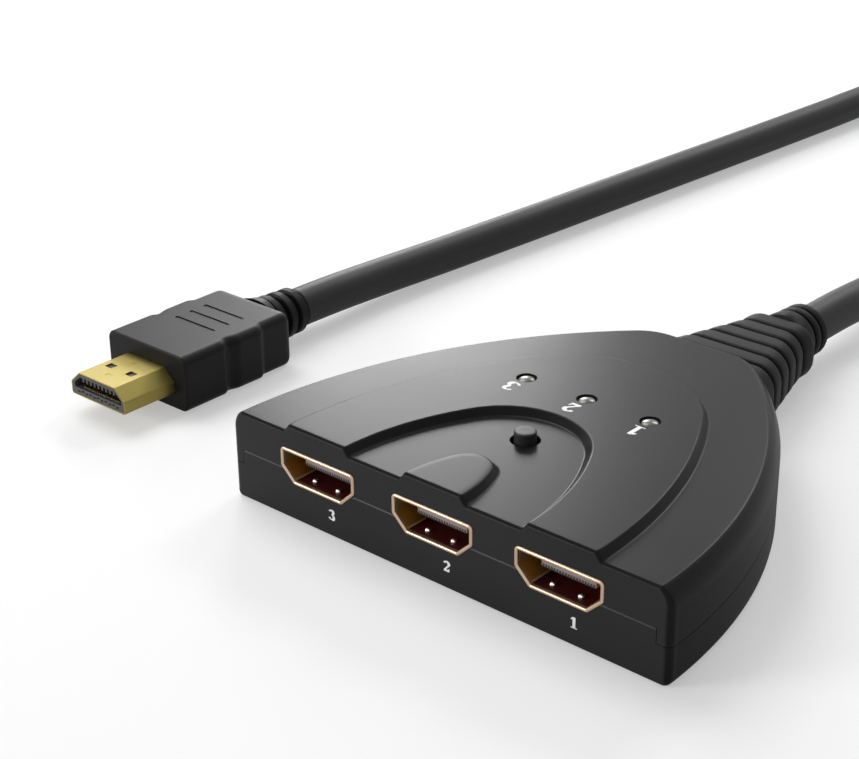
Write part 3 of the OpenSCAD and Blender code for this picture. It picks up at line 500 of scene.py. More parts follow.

# Places between which a socket's metal changes colour, and those colours: painted light on the slopes and
# along the crease, painted shade on the upright sides and further in
SOCKET_FLOOR = SOCKET_Z - MOUTH[2] / 2
RIM_RAMP, PAINTED_SHADE_RAMP = (FRONT_Y + 0.1, FRONT_Y + 0.45), (FRONT_Y + 2, FRONT_Y + 9)
UPRIGHT_RAMP = (SOCKET_FLOOR + MOUTH[3] - 0.1, SOCKET_FLOOR + MOUTH[3] + 0.1)
CREASE_HIGHLIGHT_RAMP = (SOCKET_FLOOR + 0.3, SOCKET_FLOOR + 0.22)
FLOOR_RAMP = (SOCKET_FLOOR + 0.04, SOCKET_FLOOR + 0.08)
SLOPE_PAINTED_LIGHT, SIDE_PAINTED_SHADE, CREASE_PAINTED_HIGHLIGHT = (0.36, 0.15, 0.015, 1), (0.2, 0.11, 0.035, 1), (0.62, 0.44, 0.22, 1)
DEEP_PAINTED_SHADE, FLOOR_RED, INNER_METAL = (0.05, 0.02, 0.012, 1), (0.07, 0.008, 0.008, 1), 0.2


def ramp_along(tree, coordinate, start, stop):
    """Value from 0 to 1 while a coordinate in metres runs from one place to another in millimetres."""
    made = node(tree, "ShaderNodeMapRange", From_Min=start * MM, From_Max=stop * MM)
    link(tree, coordinate, made.inputs["Value"])
    return made.outputs["Result"]


def between(tree, share, first, last):
    """Value that runs from first to last while a share runs from 0 to 1."""
    made = node(tree, "ShaderNodeMapRange", To_Min=first, To_Max=last)
    link(tree, share, made.inputs["Value"])
    return made.outputs["Result"]


def parts_of(material):
    """A material's tree, the inputs of its shader, and the axes of the place on the object."""
    tree = material.node_tree
    axes = node(tree, "ShaderNodeSeparateXYZ")
    link(tree, node(tree, "ShaderNodeTexCoord").outputs["Object"], axes.inputs["Vector"])
    return tree, tree.nodes["Principled BSDF"].inputs, axes.outputs


def feeds(socket):
    """The socket that feeds an input."""
    return socket.links[0].from_socket


def vary_case(material):
    """Makes the curved walls matt and paints the flat front a little paler, as painted light."""
    tree, inputs, axes = parts_of(material)
    low = ramp_along(tree, axes["Z"], *WALL_RAMP)
    wall = calculate(tree, "MULTIPLY", low, ramp_along(tree, axes["Y"], *BEHIND_RAMP))
    rough = calculate(tree, "MULTIPLY_ADD", wall, WALL_ROUGH, feeds(inputs["Roughness"]))
    link(tree, rough, inputs["Roughness"])
    # Painted light: the flat front's colour is scaled up so that it reads lighter than the walls
    shade = node(tree, "ShaderNodeVectorMath", operation="SCALE")
    link(tree, feeds(inputs["Base Color"]), shade.inputs[0])
    link(tree, between(tree, ramp_along(tree, axes["Y"], *PAINTED_FRONT_RAMP), 1, FRONT_PAINTED_LIGHT), shade.inputs["Scale"])
    link(tree, shade.outputs["Vector"], inputs["Base Color"])


def vary_sockets(material):
    """Leaves the plate at the rim, with brown-gold walls that darken inwards as painted shade, painted light
    on their slopes, darker upright sides, a painted highlight along the crease, and a dark red floor.
    """
    tree, inputs, axes = parts_of(material)
    inside = ramp_along(tree, axes["Y"], *RIM_RAMP)
    # Painted light and shade on one plate: lighter slopes, darker upright sides and a painted highlight
    # along the crease
    sides = mix_colour(tree, ramp_along(tree, axes["Z"], *UPRIGHT_RAMP), SLOPE_PAINTED_LIGHT, SIDE_PAINTED_SHADE)
    sides = mix_colour(tree, ramp_along(tree, axes["Z"], *CREASE_HIGHLIGHT_RAMP), sides, CREASE_PAINTED_HIGHLIGHT)
    # Painted shade: the walls darken further in
    walls = mix_colour(tree, ramp_along(tree, axes["Y"], *PAINTED_SHADE_RAMP), sides, DEEP_PAINTED_SHADE)
    inner = mix_colour(tree, ramp_along(tree, axes["Z"], *FLOOR_RAMP), FLOOR_RED, walls)
    link(tree, mix_colour(tree, inside, feeds(inputs["Base Color"]), inner), inputs["Base Color"])
    link(tree, between(tree, inside, 1, INNER_METAL), inputs["Metallic"])


def vary_lens(material):
    """Makes the lens a little clear, with painted shade that darkens its edge."""
    tree, inputs, axes = parts_of(material)
    middle = ramp_along(tree, axes["Z"], LED_TOP - LED_DOME_H, LED_TOP - LENS_CROWN)
    # Painted shade: the dome darkens towards its edge
    link(tree, mix_colour(tree, middle, LENS_PAINTED_SHADE, feeds(inputs["Base Color"])), inputs["Base Color"])
    inputs["Transmission Weight"].default_value = LENS_CLEAR
    inputs["IOR"].default_value = LENS_IOR


def all_looks():
    """Every material of the object by name."""
    moulded, plated = moulded_group(), plated_group()
    looks = {"clear_lens": surface("clear_lens", moulded, LENS_LOOK, bumpy=False)}
    for name, (specular, *values) in MOULDED_LOOKS.items():
        looks[name] = surface(name, moulded, values, specular)
    for name, values in PLATED_LOOKS.items():
        looks[name] = surface(name, plated, values, metallic=1.0)
    vary_case(looks["case_plastic"])
    vary_sockets(looks["socket_gold"])
    vary_lens(looks["clear_lens"])
    return looks


LOOKS = all_looks()


# Camera

def aim_camera():
    """Camera from which the photograph was taken."""
    place = Matrix.Translation(Vector(CAMERA_AT) * MM)
    for angle, axis in ((CAMERA_TURN, "Z"), (90 - CAMERA_RISE, "X"), (CAMERA_ROLL, "Z")):
        place = place @ Matrix.Rotation(math.radians(angle), 4, axis)
    data = bpy.data.cameras.new("camera")
    data.sensor_fit = "HORIZONTAL"
    data.sensor_width = SENSOR
    data.lens = LENS
    data.clip_start = NEAR_CLIP
    camera = bpy.data.objects.new("camera", data)
    camera.matrix_world = place
    bpy.context.scene.collection.objects.link(camera)
    bpy.context.scene.camera = camera


aim_camera()


# Plug and cable

def drawn_in(table, y):
    """Smooth value between the entries of a table of (place, value)."""
    for (y0, v0), (y1, v1) in zip(table, table[1:]):
        if y <= y1:
            t = (y - y0) / (y1 - y0)
            return v0 + (v1 - v0) * (3 * t ** 2 - 2 * t ** 3)
    return table[-1][1]


def grip_rings():
    """Rings of the grip from its eased front edge to its rounded rear end."""
    length, front, back = GRIP_BACK - GRIP_FRONT, GRIP_FRONT_EASE, GRIP_BACK_EASE
    straight = int((length - back - GRIP_START) / GRIP_STEP)
    spots = [(front * (1 - x), front * (1 - z)) for x, z in arc((0, 0), 1, 0, 90, 5)]
    spots += [(GRIP_START + GRIP_STEP * k, 0) for k in range(straight)]
    spots += [(length - back * (1 - x), back * (1 - z)) for x, z in arc((0, 0), 1, 90, 0, 7)]
    rings = []
    for y, inset in sorted(spots):
        w = GRIP_W - 2 * drawn_in(GRIP_WAIST, y) - 2 * inset
        ring = box_ring(w, GRIP_H - 2 * inset, GRIP_CORNER)
        rings.append(along_y(ring, GRIP_FRONT + y, PLUG_X, PLUG_Z))
    return rings


def neck_rings():
    """Rings of the plug's neck: a cone and its ribs."""
    sizes = list(NECK_CONE)
    for k in range(NECK_RIBS):
        y, d = NECK_FIRST + k * NECK_PITCH, NECK_D - NECK_TAPER * k
        sizes += [(y + dy, d - slim) for dy, slim in NECK_EASE]
        sizes += [(y + NECK_RIB - dy, d - slim) for dy, slim in reversed(NECK_EASE)]
    sizes.append((NECK_BACK - GRIP_BACK, NECK_END))
    rings = [(box_ring(d, min(d, NECK_TALL), d / 2), y) for y, d in sizes]
    return [along_y(ring, GRIP_BACK + y, PLUG_X, PLUG_Z) for ring, y in rings]


def plug_rings(ring, places, z=PLUG_Z):
    """An outline with its wide side down at places along the plug."""
    return [along_y(ring, y, PLUG_X, z, flip=-1) for y in places]


def plug_grip():
    """Moulded grip with waisted sides, grip slits on both faces, and a ringed neck."""
    made = made_of("plug_grip", tube, grip_rings() + neck_rings())
    tools = []
    for k in range(SLITS):
        for up in (1, -1):
            y, z = GRIP_FRONT + SLIT_FIRST + SLIT_PITCH * k, PLUG_Z + up * GRIP_H / 2
            ring = [(PLUG_X + a, y + b) for a, b in box_ring(SLIT_LEN, SLIT_W, SLIT_W / 2)]
            levels = [[(a, b, h) for a, b in ring] for h in (z - SLIT_DEEP, z + SLIT_DEEP)]
            tools.append(cutter(tube, levels))
    pocket = mouth_ring(PLUG_MOUTH, PLUG_FIT)
    tools.append(cutter(tube, plug_rings(pocket, (GRIP_FRONT - PAST, PLUG_ROOT))))
    carve(made, tools)
    return dress(made, "plug_plastic", ["plug_body"], crease=40, level=True)


def plug_core():
    """Grey core that fills the shell's mouth, with a cavity, ribs under its roof and a slotted plate."""
    outline = mouth_ring(PLUG_MOUTH, -SHEET - CORE_SLIM, PLUG_CORE_ROUND)
    places = (PLUG_TIP + PLUG_CORE_IN, PLUG_ROOT - PAST)
    made = made_of("plug_core", tube, plug_rings(outline, places))
    cavity, cavity_end = mouth_ring(CAVITY, 0, CAVITY_ROUND), PLUG_TIP + CAVITY_DEEP
    middle = (PLUG_ROOF + PLUG_PLATE) / 2
    tools = [cutter(tube, plug_rings(cavity, (PLUG_TIP - PAST, cavity_end), middle))]
    along = (PLUG_TIP - PAST, PLUG_TIP + SLOT_DEEP)
    for k in CORE_SLOTS:
        z = PLUG_Z - SLOT_DROP + SLOT_ZIGZAG * (-1) ** k
        tools.append(cutter(bars, [PLUG_X + k], SLOT_HALF, along, (z - SLOT_HALF_H, z + SLOT_HALF_H)))
    carve(made, tools)
    ribs = bmesh.new()
    along = (PLUG_TIP + CORE_RIB_START, cavity_end - CORE_RIB_STOP)
    up = (PLUG_ROOF - CORE_RIB_H, PLUG_ROOF + CORE_RIB_SUNK)
    bars(ribs, [PLUG_X + k for k in CORE_RIBS], CORE_RIB_HALF, along, up)
    ribs.from_mesh(made.data)
    ribs.to_mesh(made.data)
    ribs.free()
    return dress(made, "plug_core_plastic", ["plug_insulator"])


def plug_pins():
    """Contact strips on the plate of the plug's core."""
    places = [PLUG_X + PLUG_PIN_PITCH * k for k in PINS]
    along, up = [PLUG_TIP + y for y in PLUG_PIN_ENDS], [PLUG_PLATE + z for z in PLUG_PIN_Z]
    made = made_of("plug_pins", bars, places, PLUG_PIN_HALF, along, up)
    return dress(made, "contact_gold", ["plug_contacts"])


def plug_metal():
    """Folded plug shell, wide side down, with its latch windows."""
    section = [(-SHEET, PLUG_ROOT), (-SHEET, PLUG_TIP + PLUG_LIP)]
    section += [(out, PLUG_TIP + y) for out, y in PLUG_EDGE]
    section += [(0, PLUG_TIP + PLUG_LIP), (0, PLUG_ROOT)]
    rings = [plug_rings(mouth_ring(PLUG_MOUTH, out, PLUG_ROUND), [y])[0] for out, y in section]
    made = made_of("plug_metal", tube, rings, looped=True)
    spots = [(side * WINDOW_X, WINDOW_Y, WINDOW_HALF, WINDOW_DEEP) for side in (-1, 1)]
    spots += [(0, y, MARK_HALF, MARK_DEEP) for y in MARK_PLACES]
    top = PLUG_Z + PLUG_MOUTH[2] / 2
    tools = []
    for x, y, half, deep in spots:
        low = (PLUG_X + x - half[0], PLUG_TIP + y - half[1], top - deep)
        high = (PLUG_X + x + half[0], PLUG_TIP + y + half[1], top + PAST)
        tools.append(cutter(block, low, high))
    carve(made, tools)
    return dress(made, "plug_gold", ["plug_shell"], crease=40, level=True)


def smooth_route():
    """Points of the cable's centre line, in metres, on a smooth curve through the route."""
    points = [Vector(p) * MM for p in ROUTE]
    smooth = []
    for i in range(len(points) - 1):
        a, b = points[max(0, i - 1)], points[i]
        c, d = points[i + 1], points[min(len(points) - 1, i + 2)]
        smooth += interpolate_bezier(b, b + (c - a) / 6, c - (d - b) / 6, c, ROUTE_CUTS + 1)[:-1]
    return smooth + points[-1:]


def free_cable(with_pieces):
    """The cord from the strain relief to the plug. The pieces at its far end, which it is given, are not
    used.
    """
    data = bpy.data.curves.new("free_cable", "CURVE")
    data.dimensions = "3D"
    data.bevel_depth = CABLE_D / 2 * MM
    data.bevel_resolution = CABLE_CUTS
    data.use_fill_caps = True
    spline = data.splines.new("POLY")
    points = smooth_route()
    spline.points.add(len(points) - 1)
    for spot, point in zip(spline.points, points):
        spot.co = (*point, 1)
    spline.use_smooth = True
    data.materials.append(LOOKS["cable_jacket"])
    made = bpy.data.objects.new("free_cable", data)
    bpy.context.scene.collection.objects.link(made)
    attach(made, "case")
    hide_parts("cable")


free_cable([plug_grip(), plug_metal(), plug_core(), plug_pins()])


# Case

SIDE_IN = CASE_W / 2 - REAR_W / 2
CORNER = (REAR_W / 2, CASE_LEN - REAR_R)
SIDE_R = (SIDE_IN ** 2 + CORNER[1] ** 2 - REAR_R ** 2) / (2 * (SIDE_IN - REAR_R))
SIDE_CX = CASE_W / 2 - SIDE_R
SIDE_TURN = math.degrees(math.atan2(CORNER[1], CORNER[0] - SIDE_CX))
FLAT_CUTS, FOOT_CUTS, SHOULDER_CUTS = 8, 4, 10
OUTLINE = [((SIDE_CX, 0), SIDE_R, 0, SIDE_TURN, 54), (CORNER, REAR_R, SIDE_TURN, 90, 18)]

# Section of the front edge, in shares of its size: behind the front face and in from the row
ROUND_EDGE = [(1 - math.sin(a), 1 - math.cos(a)) for a in (math.radians(90 - 18 * k) for k in range(5))]
BEVEL_EDGE = [(0, 1), (0.045, 0.78), (0.16, 0.6), (0.74, 0.1), (0.88, 0.025)]

# Which edges lie along the seam: tolerance in metres, reach behind the front, lean of a wall, least angle
SAME, TAB_NEAR, WALL_LEAN, SEAM_SHARP = 1e-6, 0.1, 0.2, 1.2


def arch_plan(w, length, tip):
    """Half plan of an arch-shaped step: a side arc and a tip arc that run on from each other."""
    half, tip_y = w / 2, length - tip
    radius = (half ** 2 + tip_y ** 2 - tip ** 2) / (2 * (half - tip))
    turn = math.degrees(math.atan2(tip_y, radius - half))
    return [((half - radius, 0), radius, 0, turn, 46), ((0, tip_y), tip, turn, 90, 34)]


def half_row(plan, inset, z, lean=(0, 0), ease=0, front=0):
    """Right half of a row round the case, from the front edge to the middle of the rear."""
    centre, radius, _, turn, cuts = plan[0]
    radius -= inset
    row = []
    soft = (ease - EDGE_EASE) / (CORNER_EASE - EDGE_EASE)
    for bevel, curve in zip(BEVEL_EDGE, ROUND_EDGE) if ease else ():
        y, back = (ease * (b + (c - b) * soft) for b, c in zip(bevel, curve))
        x = centre[0] + math.sqrt(radius ** 2 - y ** 2)
        row.append((x - back * lean[0], y, z - back * lean[1]))
    start = math.degrees(math.asin((front + ease) / radius))
    row += [(x, y, z) for x, y in arc(centre, radius, start, turn, cuts)]
    for centre, radius, start, stop, cuts in plan[1:]:
        row += [(x, y, z) for x, y in arc(centre, radius - inset, start, stop, cuts)[1:]]
    if plan is OUTLINE:
        x, y, _ = row[-1]
        row += [(x * (1 - k / FLAT_CUTS), y, z) for k in range(1, FLAT_CUTS + 1)]
    return row


def whole_row(half):
    """Row from the left front edge round the rear to the right front edge, in the frame."""
    row = [(-x, y, z) for x, y, z in half] + half[-2::-1]
    return [(x, y + FRONT_Y, z) for x, y, z in row]


def step_profile(rising):
    """Inset and height along the eased flank of a step, from its outer to its inner side."""
    slope = math.atan2(STEP_H, FLANK)
    reach = STEP_EASE * math.tan(slope / 2)
    cuts = 5
    turns = [slope * k / cuts for k in range(cuts + 1)]
    foot = [(-reach + STEP_EASE * math.sin(a), STEP_EASE * (1 - math.cos(a))) for a in turns]
    head = [(FLANK - inset, STEP_H - height) for inset, height in reversed(foot)]
    if rising:
        return foot + head
    return [(inset, STEP_H - height) for inset, height in foot + head]


def case_rows():
    """Rows of the case's skin: half plan, inset, height and radius of the front edge."""
    rows = [(OUTLINE, FOOT_IN, 0, EDGE_EASE)]
    for k in range(FOOT_CUTS + 1):
        a = math.radians(90 * k / FOOT_CUTS)
        ease = EDGE_EASE + (CORNER_EASE - EDGE_EASE) * k / FOOT_CUTS
        rows.append((OUTLINE, FOOT_R * (1 - math.sin(a)), FOOT_R * (1 - math.cos(a)), ease))
    rows += [(OUTLINE, 0, z, CORNER_EASE) for z in WALL_ROWS]
    stop = math.radians(SHOULDER_STOP)
    centre_z = LOW_H - SHOULDER_R * math.sin(stop)
    for k in range(SHOULDER_CUTS + 1):
        a = (stop - SHOULDER_CREASE / SHOULDER_R) * k / SHOULDER_CUTS
        ease = CORNER_EASE + (EDGE_EASE - CORNER_EASE) * k / SHOULDER_CUTS
        rows.append((OUTLINE, SHOULDER_R * (1 - math.cos(a)), centre_z + SHOULDER_R * math.sin(a), ease))
    rows.append((OUTLINE, SHOULDER_R * (1 - math.cos(stop)) + SHOULDER_CREASE, LOW_H, EDGE_EASE))
    for shape, rising in ((OUTER_STEP, True), (SUNK_STEP, False), (PAD_STEP, True)):
        plan = arch_plan(*shape)
        rows += [(plan, inset, LOW_H + up, EDGE_EASE) for inset, up in step_profile(rising)]
    rows.append((plan, FLANK + PAD_IN, HIGH_H, EDGE_EASE))
    return rows


def front_point(plan, inset, z):
    """Where a row meets the front face: across and up."""
    return Vector((plan[0][0][0] + plan[0][1] - inset, z))


def ladder(bm, row):
    """Fills a row that is alike on both sides with faces that reach from side to side."""
    rear = row[len(row) // 2].co.y
    flat = next(k for k, vert in enumerate(row) if abs(vert.co.y - rear) < MERGE)
    pairs = list(zip(row, reversed(row)))[:flat]
    for (left, right), (next_left, next_right) in zip(pairs, pairs[1:]):
        bm.faces.new((left, next_left, next_right, right))
    bm.faces.new(row[flat - 1:len(row) - flat + 1])


def case_block():
    """Outside of the whole case as one closed block."""
    specs = case_rows()
    points = [front_point(plan, inset, z) for plan, inset, z, _ in specs]
    steps = [(b - a).normalized() for a, b in zip(points, points[1:])]
    steps = steps[:1] + steps + steps[-1:]
    rows = []
    for (plan, inset, z, ease), before, after in zip(specs, steps, steps[1:]):
        run = (before + after).normalized()
        rows.append(whole_row(half_row(plan, inset, z, (run.y, -run.x), ease)))
    bm = bmesh.new()
    grid = skin(bm, rows)
    ladder(bm, grid[0])
    ladder(bm, grid[-1])
    bm.faces.new([row[0] for row in grid] + [row[-1] for row in reversed(grid)])
    return to_object("case_block", bm)


def case_room(bm):
    """Room inside the case."""
    rows = [whole_row(half_row(OUTLINE, WALL, z, front=WALL)) for z in (WALL, LOW_H - WALL)]
    grid = skin(bm, rows)
    bm.faces.new(grid[0])
    bm.faces.new(grid[1])
    bm.faces.new([grid[0][0], grid[1][0], grid[1][-1], grid[0][-1]])


def below_seam(grow):
    """Space of the bottom shell, as a loose object."""
    half = CASE_W / 2 - SEAM_TAB + grow
    slab = cutter(block, (-FAR, -FAR, -PAST), (FAR, FAR, SEAM_SIDE + grow))
    high = (half, FRONT_Y + WALL + grow, SEAM_FRONT + grow)
    tab = cutter(block, (-half, FRONT_Y - PAST, SEAM_TAB_LOW), high)
    return carve(slab, [tab], "UNION")


def shell_openings():
    """Cutters for the sockets and the strain relief, which both shells share."""
    mouth = mouth_ring(MOUTH, RIM_W + SOCKET_ROOM)
    tools = []
    for side in (-1, 0, 1):
        places = (FRONT_Y - PAST, FRONT_Y + WALL + PAST)
        tools.append(cutter(tube, [along_y(mouth, y, side * SOCKET_PITCH, SOCKET_Z) for y in places]))
    boot = box_ring(BOOT_WIDE[0] + BOOT_ROOM, BOOT_WIDE[1] + BOOT_ROOM, BOOT_CORNER + BOOT_ROOM / 2)
    tools.append(cutter(tube, [along_y(boot, FRONT_Y + CASE_LEN + y, 0, CABLE_Z) for y in BOOT_WAY]))
    return tools


def seam_lip(bm):
    """Wedge that chamfers the bottom shell's edge along the front seam."""
    half, slope = CASE_W / 2 - SEAM_TAB - SEAM_GAP, math.tan(math.radians(SEAM_SLOPE))
    low = (FRONT_Y - LIP_PAST * slope, SEAM_FRONT - SEAM_LIP - LIP_PAST)
    high = (FRONT_Y + (SEAM_LIP + LIP_PAST) * slope, SEAM_FRONT + LIP_PAST)
    corner = (FRONT_Y - PAST, SEAM_FRONT + LIP_PAST)
    tube(bm, [[(x, y, z) for y, z in (low, high, corner)] for x in (-half, half)])


def on_seam(edge):
    """Whether an edge of the top shell is an outer edge along the seam."""
    if len(edge.link_faces) != 2:
        return False
    low, high = (v.co for v in edge.verts)
    heights = [(h + SEAM_GAP) * MM for h in (SEAM_SIDE, SEAM_FRONT)]
    tab_x = (CASE_W / 2 - SEAM_TAB + SEAM_GAP) * MM
    level = any(abs(low.z - h) < SAME and abs(high.z - h) < SAME for h in heights)
    upright = abs(abs(low.x) - tab_x) < SAME and abs(low.x - high.x) < SAME and low.z != high.z
    spot = (low + high) / 2
    if not level and not (upright and spot.y < (FRONT_Y + TAB_NEAR) * MM):
        return False
    outward = Vector((spot.x, spot.y - (FRONT_Y + CASE_LEN / 2) * MM, 0))
    faces = [f.normal for f in edge.link_faces]
    wall = any(abs(n.z) < WALL_LEAN and n.dot(outward) > 0 for n in faces)
    return wall and faces[0].angle(faces[1]) > SEAM_SHARP


def ease_seam(made):
    """Rounds the top shell's outer edge along the seam."""
    bm = bmesh.new()
    bm.from_mesh(made.data)
    bmesh.ops.bevel(
        bm, geom=[edge for edge in bm.edges if on_seam(edge)], offset=SEAM_ROUND * MM, segments=2,
        profile=0.5, affect="EDGES", material=-1, clamp_overlap=True,
    )
    bm.to_mesh(made.data)
    bm.free()


def copy_of(case, name):
    """Copy of the whole case, to be cut to one of its shells."""
    made = case.copy()
    made.data = case.data.copy()
    made.name = name
    bpy.context.scene.collection.objects.link(made)
    return made


def top_shell(case):
    """Upper half with the stepped top, the light holes and the button hole."""
    made = copy_of(case, "top_cover")
    tools = [cutter(case_room), below_seam(SEAM_GAP)] + shell_openings()
    holes = [(side * LED_PITCH, LED_Y, LED_HOLE / 2, HIGH_H) for side in (-1, 0, 1)]
    holes.append((0, BUTTON_Y, BUTTON_HOLE / 2, LOW_H))
    low = LOW_H - WALL - PAST
    for x, y, radius, top in holes:
        profile = [(0, low), (radius, low), (radius, top - HOLE_SINK)]
        profile += [(radius + 2 * HOLE_SINK, top + HOLE_SINK), (0, top + HOLE_SINK)]
        tools.append(cutter(turned, profile, (x, FRONT_Y + y), steps=HOLE_STEPS))
    carve(made, tools)
    ease_seam(made)
    return dress(made, "case_plastic", ["top_shell"], crease=35, level=True)


def bottom_shell(case):
    """Lower half, a tray with the screw holes."""
    made = copy_of(case, "bottom_cover")
    carve(made, [below_seam(0)], "INTERSECT")
    tools = [cutter(case_room), cutter(seam_lip)] + shell_openings()
    for x, y in SCREWS:
        tools.append(cutter(rod, (x, FRONT_Y + y), SCREW_HEAD_HOLE / 2, -PAST, WALL + PAST))
    carve(made, tools)
    return dress(made, "case_plastic", ["bottom_shell"], crease=26, level=True)


def case_shells():
    """Both shells, cut from one block."""
    case = case_block()
    top_shell(case)
    bottom_shell(case)
    bpy.data.objects.remove(case)


case_shells()


# Sockets, lights and button

def socket_shell(number, x):
    """Folded socket shell with a broad rim that stands out of the case."""
    half = RIM_W / 2
    section = [(0, SOCKET_DEPTH), (0, RIM_BACK)]
    section += [(half + half * a, -RIM_OUT * b) for a, b in arc((0, 0), 1, 180, 0, 8)]
    section += [(RIM_W, RIM_BACK), (SHEET, RIM_FOLD), (SHEET, SOCKET_DEPTH)]
    rings = [along_y(mouth_ring(MOUTH, g), FRONT_Y + y, x, SOCKET_Z) for g, y in section]
    made = made_of(f"socket_{number}", tube, rings, looped=True)
    return dress(made, "socket_gold", [f"input_{number}_shell"], crease=50)


def contact_springs(number, x):
    """Two polished springs that stand out of the socket's floor."""
    bm = bmesh.new()
    for side in (-1, 1):
        at = Vector((x + side * SPRING_X, FRONT_Y + SPRING_Y, SOCKET_FLOOR)) * MM
        bmesh.ops.create_uvsphere(
            bm, u_segments=20, v_segments=12, radius=SPRING_R * MM, matrix=Matrix.Translation(at))
    made = to_object(f"socket_springs_{number}", bm)
    return dress(made, "spring_tin")


def socket_core(number, x):
    """Moulded back of a socket and the tongue that carries its contacts."""
    bm = bmesh.new()
    ring = mouth_ring(MOUTH, -CORE_SLIM)
    tube(bm, [along_y(ring, FRONT_Y + y, x, SOCKET_Z) for y in (CORE_FRONT, SOCKET_DEPTH - CORE_IN)])
    low = (x - TONGUE_W / 2, FRONT_Y + TONGUE_Y, TONGUE_LOW)
    tongue = block(bm, low, (x + TONGUE_W / 2, FRONT_Y + TONGUE_END, TONGUE_HIGH))
    edges = {e for v in tongue for e in v.link_edges}
    bmesh.ops.bevel(
        bm, geom=list(edges), offset=TONGUE_EASE * MM, segments=2, profile=0.5, affect="EDGES", material=-1)
    made = to_object(f"socket_core_{number}", bm)
    return dress(made, "tongue_plastic", [f"input_{number}_insulator"])


def socket_pins(number, x):
    """Contact strips under the tongue, whose ends show as fine teeth at its front."""
    along = (FRONT_Y + TONGUE_Y - PIN_AHEAD, FRONT_Y + CORE_FRONT)
    up = (TONGUE_LOW - PIN_DROP, TONGUE_LOW - PIN_DROP + PIN_H)
    made = made_of(f"socket_pins_{number}", bars, [x + PIN_PITCH * k for k in PINS], PIN_HALF, along, up)
    return dress(made, "chip_plastic", [f"input_{number}_contacts"])


def light(number, x):
    """Clear domed lens with its base rim."""
    radius, base = LED_D / 2, LED_TOP - LED_BODY
    rim, rim_top = radius + LED_RIM, base + LED_RIM_H
    profile = [(0, base), (rim, base), (rim, rim_top), (radius, rim_top)]
    profile += [(a * radius, LED_TOP + (b - 1) * LED_DOME_H) for a, b in arc((0, 0), 1, 0, 90, 10)]
    made = made_of(f"lens_{number}", turned, profile, (x, FRONT_Y + LED_Y))
    return dress(made, "clear_lens", [f"led_{number}"])


def button():
    """Round button stem with an eased top and the flange that keeps it in its switch."""
    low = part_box("select_button")[0].z / MM
    radius, flange, flange_top = BUTTON_D / 2, BUTTON_D / 2 + BUTTON_FLANGE, low + BUTTON_FLANGE_H
    profile = [(0, low), (flange, low), (flange, flange_top), (radius, flange_top)]
    profile += arc((radius - BUTTON_EASE, BUTTON_TOP - BUTTON_EASE), BUTTON_EASE, 0, 90, 6)
    profile += [(r, BUTTON_TOP - sunk) for r, sunk in BUTTON_DISH]
    made = made_of("button_cap", turned, profile, (0, FRONT_Y + BUTTON_Y))
    return dress(made, "button_plastic", ["select_button"], body="button")


for number, side in INPUTS:
    socket_shell(number, side * SOCKET_PITCH)
    contact_springs(number, side * SOCKET_PITCH)
    socket_core(number, side * SOCKET_PITCH)
    socket_pins(number, side * SOCKET_PITCH)
    light(number, side * LED_PITCH)
button()


# Strain relief

RIB_FROM, RIB_TO = CASE_LEN, CASE_LEN + BOOT_LEN - BOOT_NECK
RIB_PITCH = (RIB_TO - RIB_FROM) / BOOT_RIBS


def boot_ring(y, inset):
    """Ring of the boot's ribs, drawn in by a distance."""
    t = min(max((y - RIB_FROM) / (RIB_TO - RIB_PITCH - RIB_FROM), 0), 1)
    w, h = (a + (b - a) * t for a, b in zip(BOOT_WIDE, BOOT_SLIM))
    ring = box_ring(w - 2 * inset, h - 2 * inset, BOOT_CORNER - inset / 2)
    return along_y(ring, FRONT_Y + y, 0, CABLE_Z)


def boot_neck_ring(y, d):
    """Round ring of the boot's neck or of its bore."""
    return along_y(box_ring(d, d, d / 2), FRONT_Y + y, 0, CABLE_Z)


def rib_rings():
    """Rings of the ribs and of the grooves between them."""
    rings = []
    for i in range(BOOT_RIBS):
        y, end = RIB_FROM + i * RIB_PITCH, RIB_FROM + (i + 1) * RIB_PITCH - BOOT_GROOVE
        if i:
            rings += [boot_ring(y + dy, inset) for dy, inset in RIB_EASE]
        rings += [boot_ring(end - dy, inset) for dy, inset in reversed(RIB_EASE)]
        if i < BOOT_RIBS - 1:
            rings.append(boot_ring(end + BOOT_GROOVE - GROOVE_END, BOOT_GROOVE_DEEP))
    return rings


def strain_relief():
    """Ribbed boot that tapers from the case to a ringed neck."""
    low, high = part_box("cable_boot")
    flange = low.y / MM - FRONT_Y
    lift = WALL + BOOT_FIT - low.z / MM
    wide = box_ring(2 * high.x / MM, BOOT_WIDE[1] - lift, BOOT_CORNER)
    rings = [along_y(wide, FRONT_Y + flange + t, 0, CABLE_Z + lift / 2) for t in (0, BOOT_FLANGE)]
    rings.append(boot_ring(flange + BOOT_FLANGE, 0))
    rings += rib_rings() + [boot_neck_ring(RIB_TO + y, d) for y, d in BOOT_NECK_SIZES]
    rings += [boot_neck_ring(y, CABLE_D + BORE_ROOM) for y in (CASE_LEN + BOOT_LEN, flange)]
    made = made_of("boot", tube, rings, looped=True)
    return dress(made, "boot_rubber", ["cable_boot"], crease=40)


strain_relief()


# Printed numerals

def swelling(points, widths):
    """Stroke along points whose width runs smoothly through the given widths."""
    spans = [(k / (len(widths) - 1), w) for k, w in enumerate(widths)]
    return [(x, y, drawn_in(spans, k / (len(points) - 1))) for k, (x, y) in enumerate(points)]


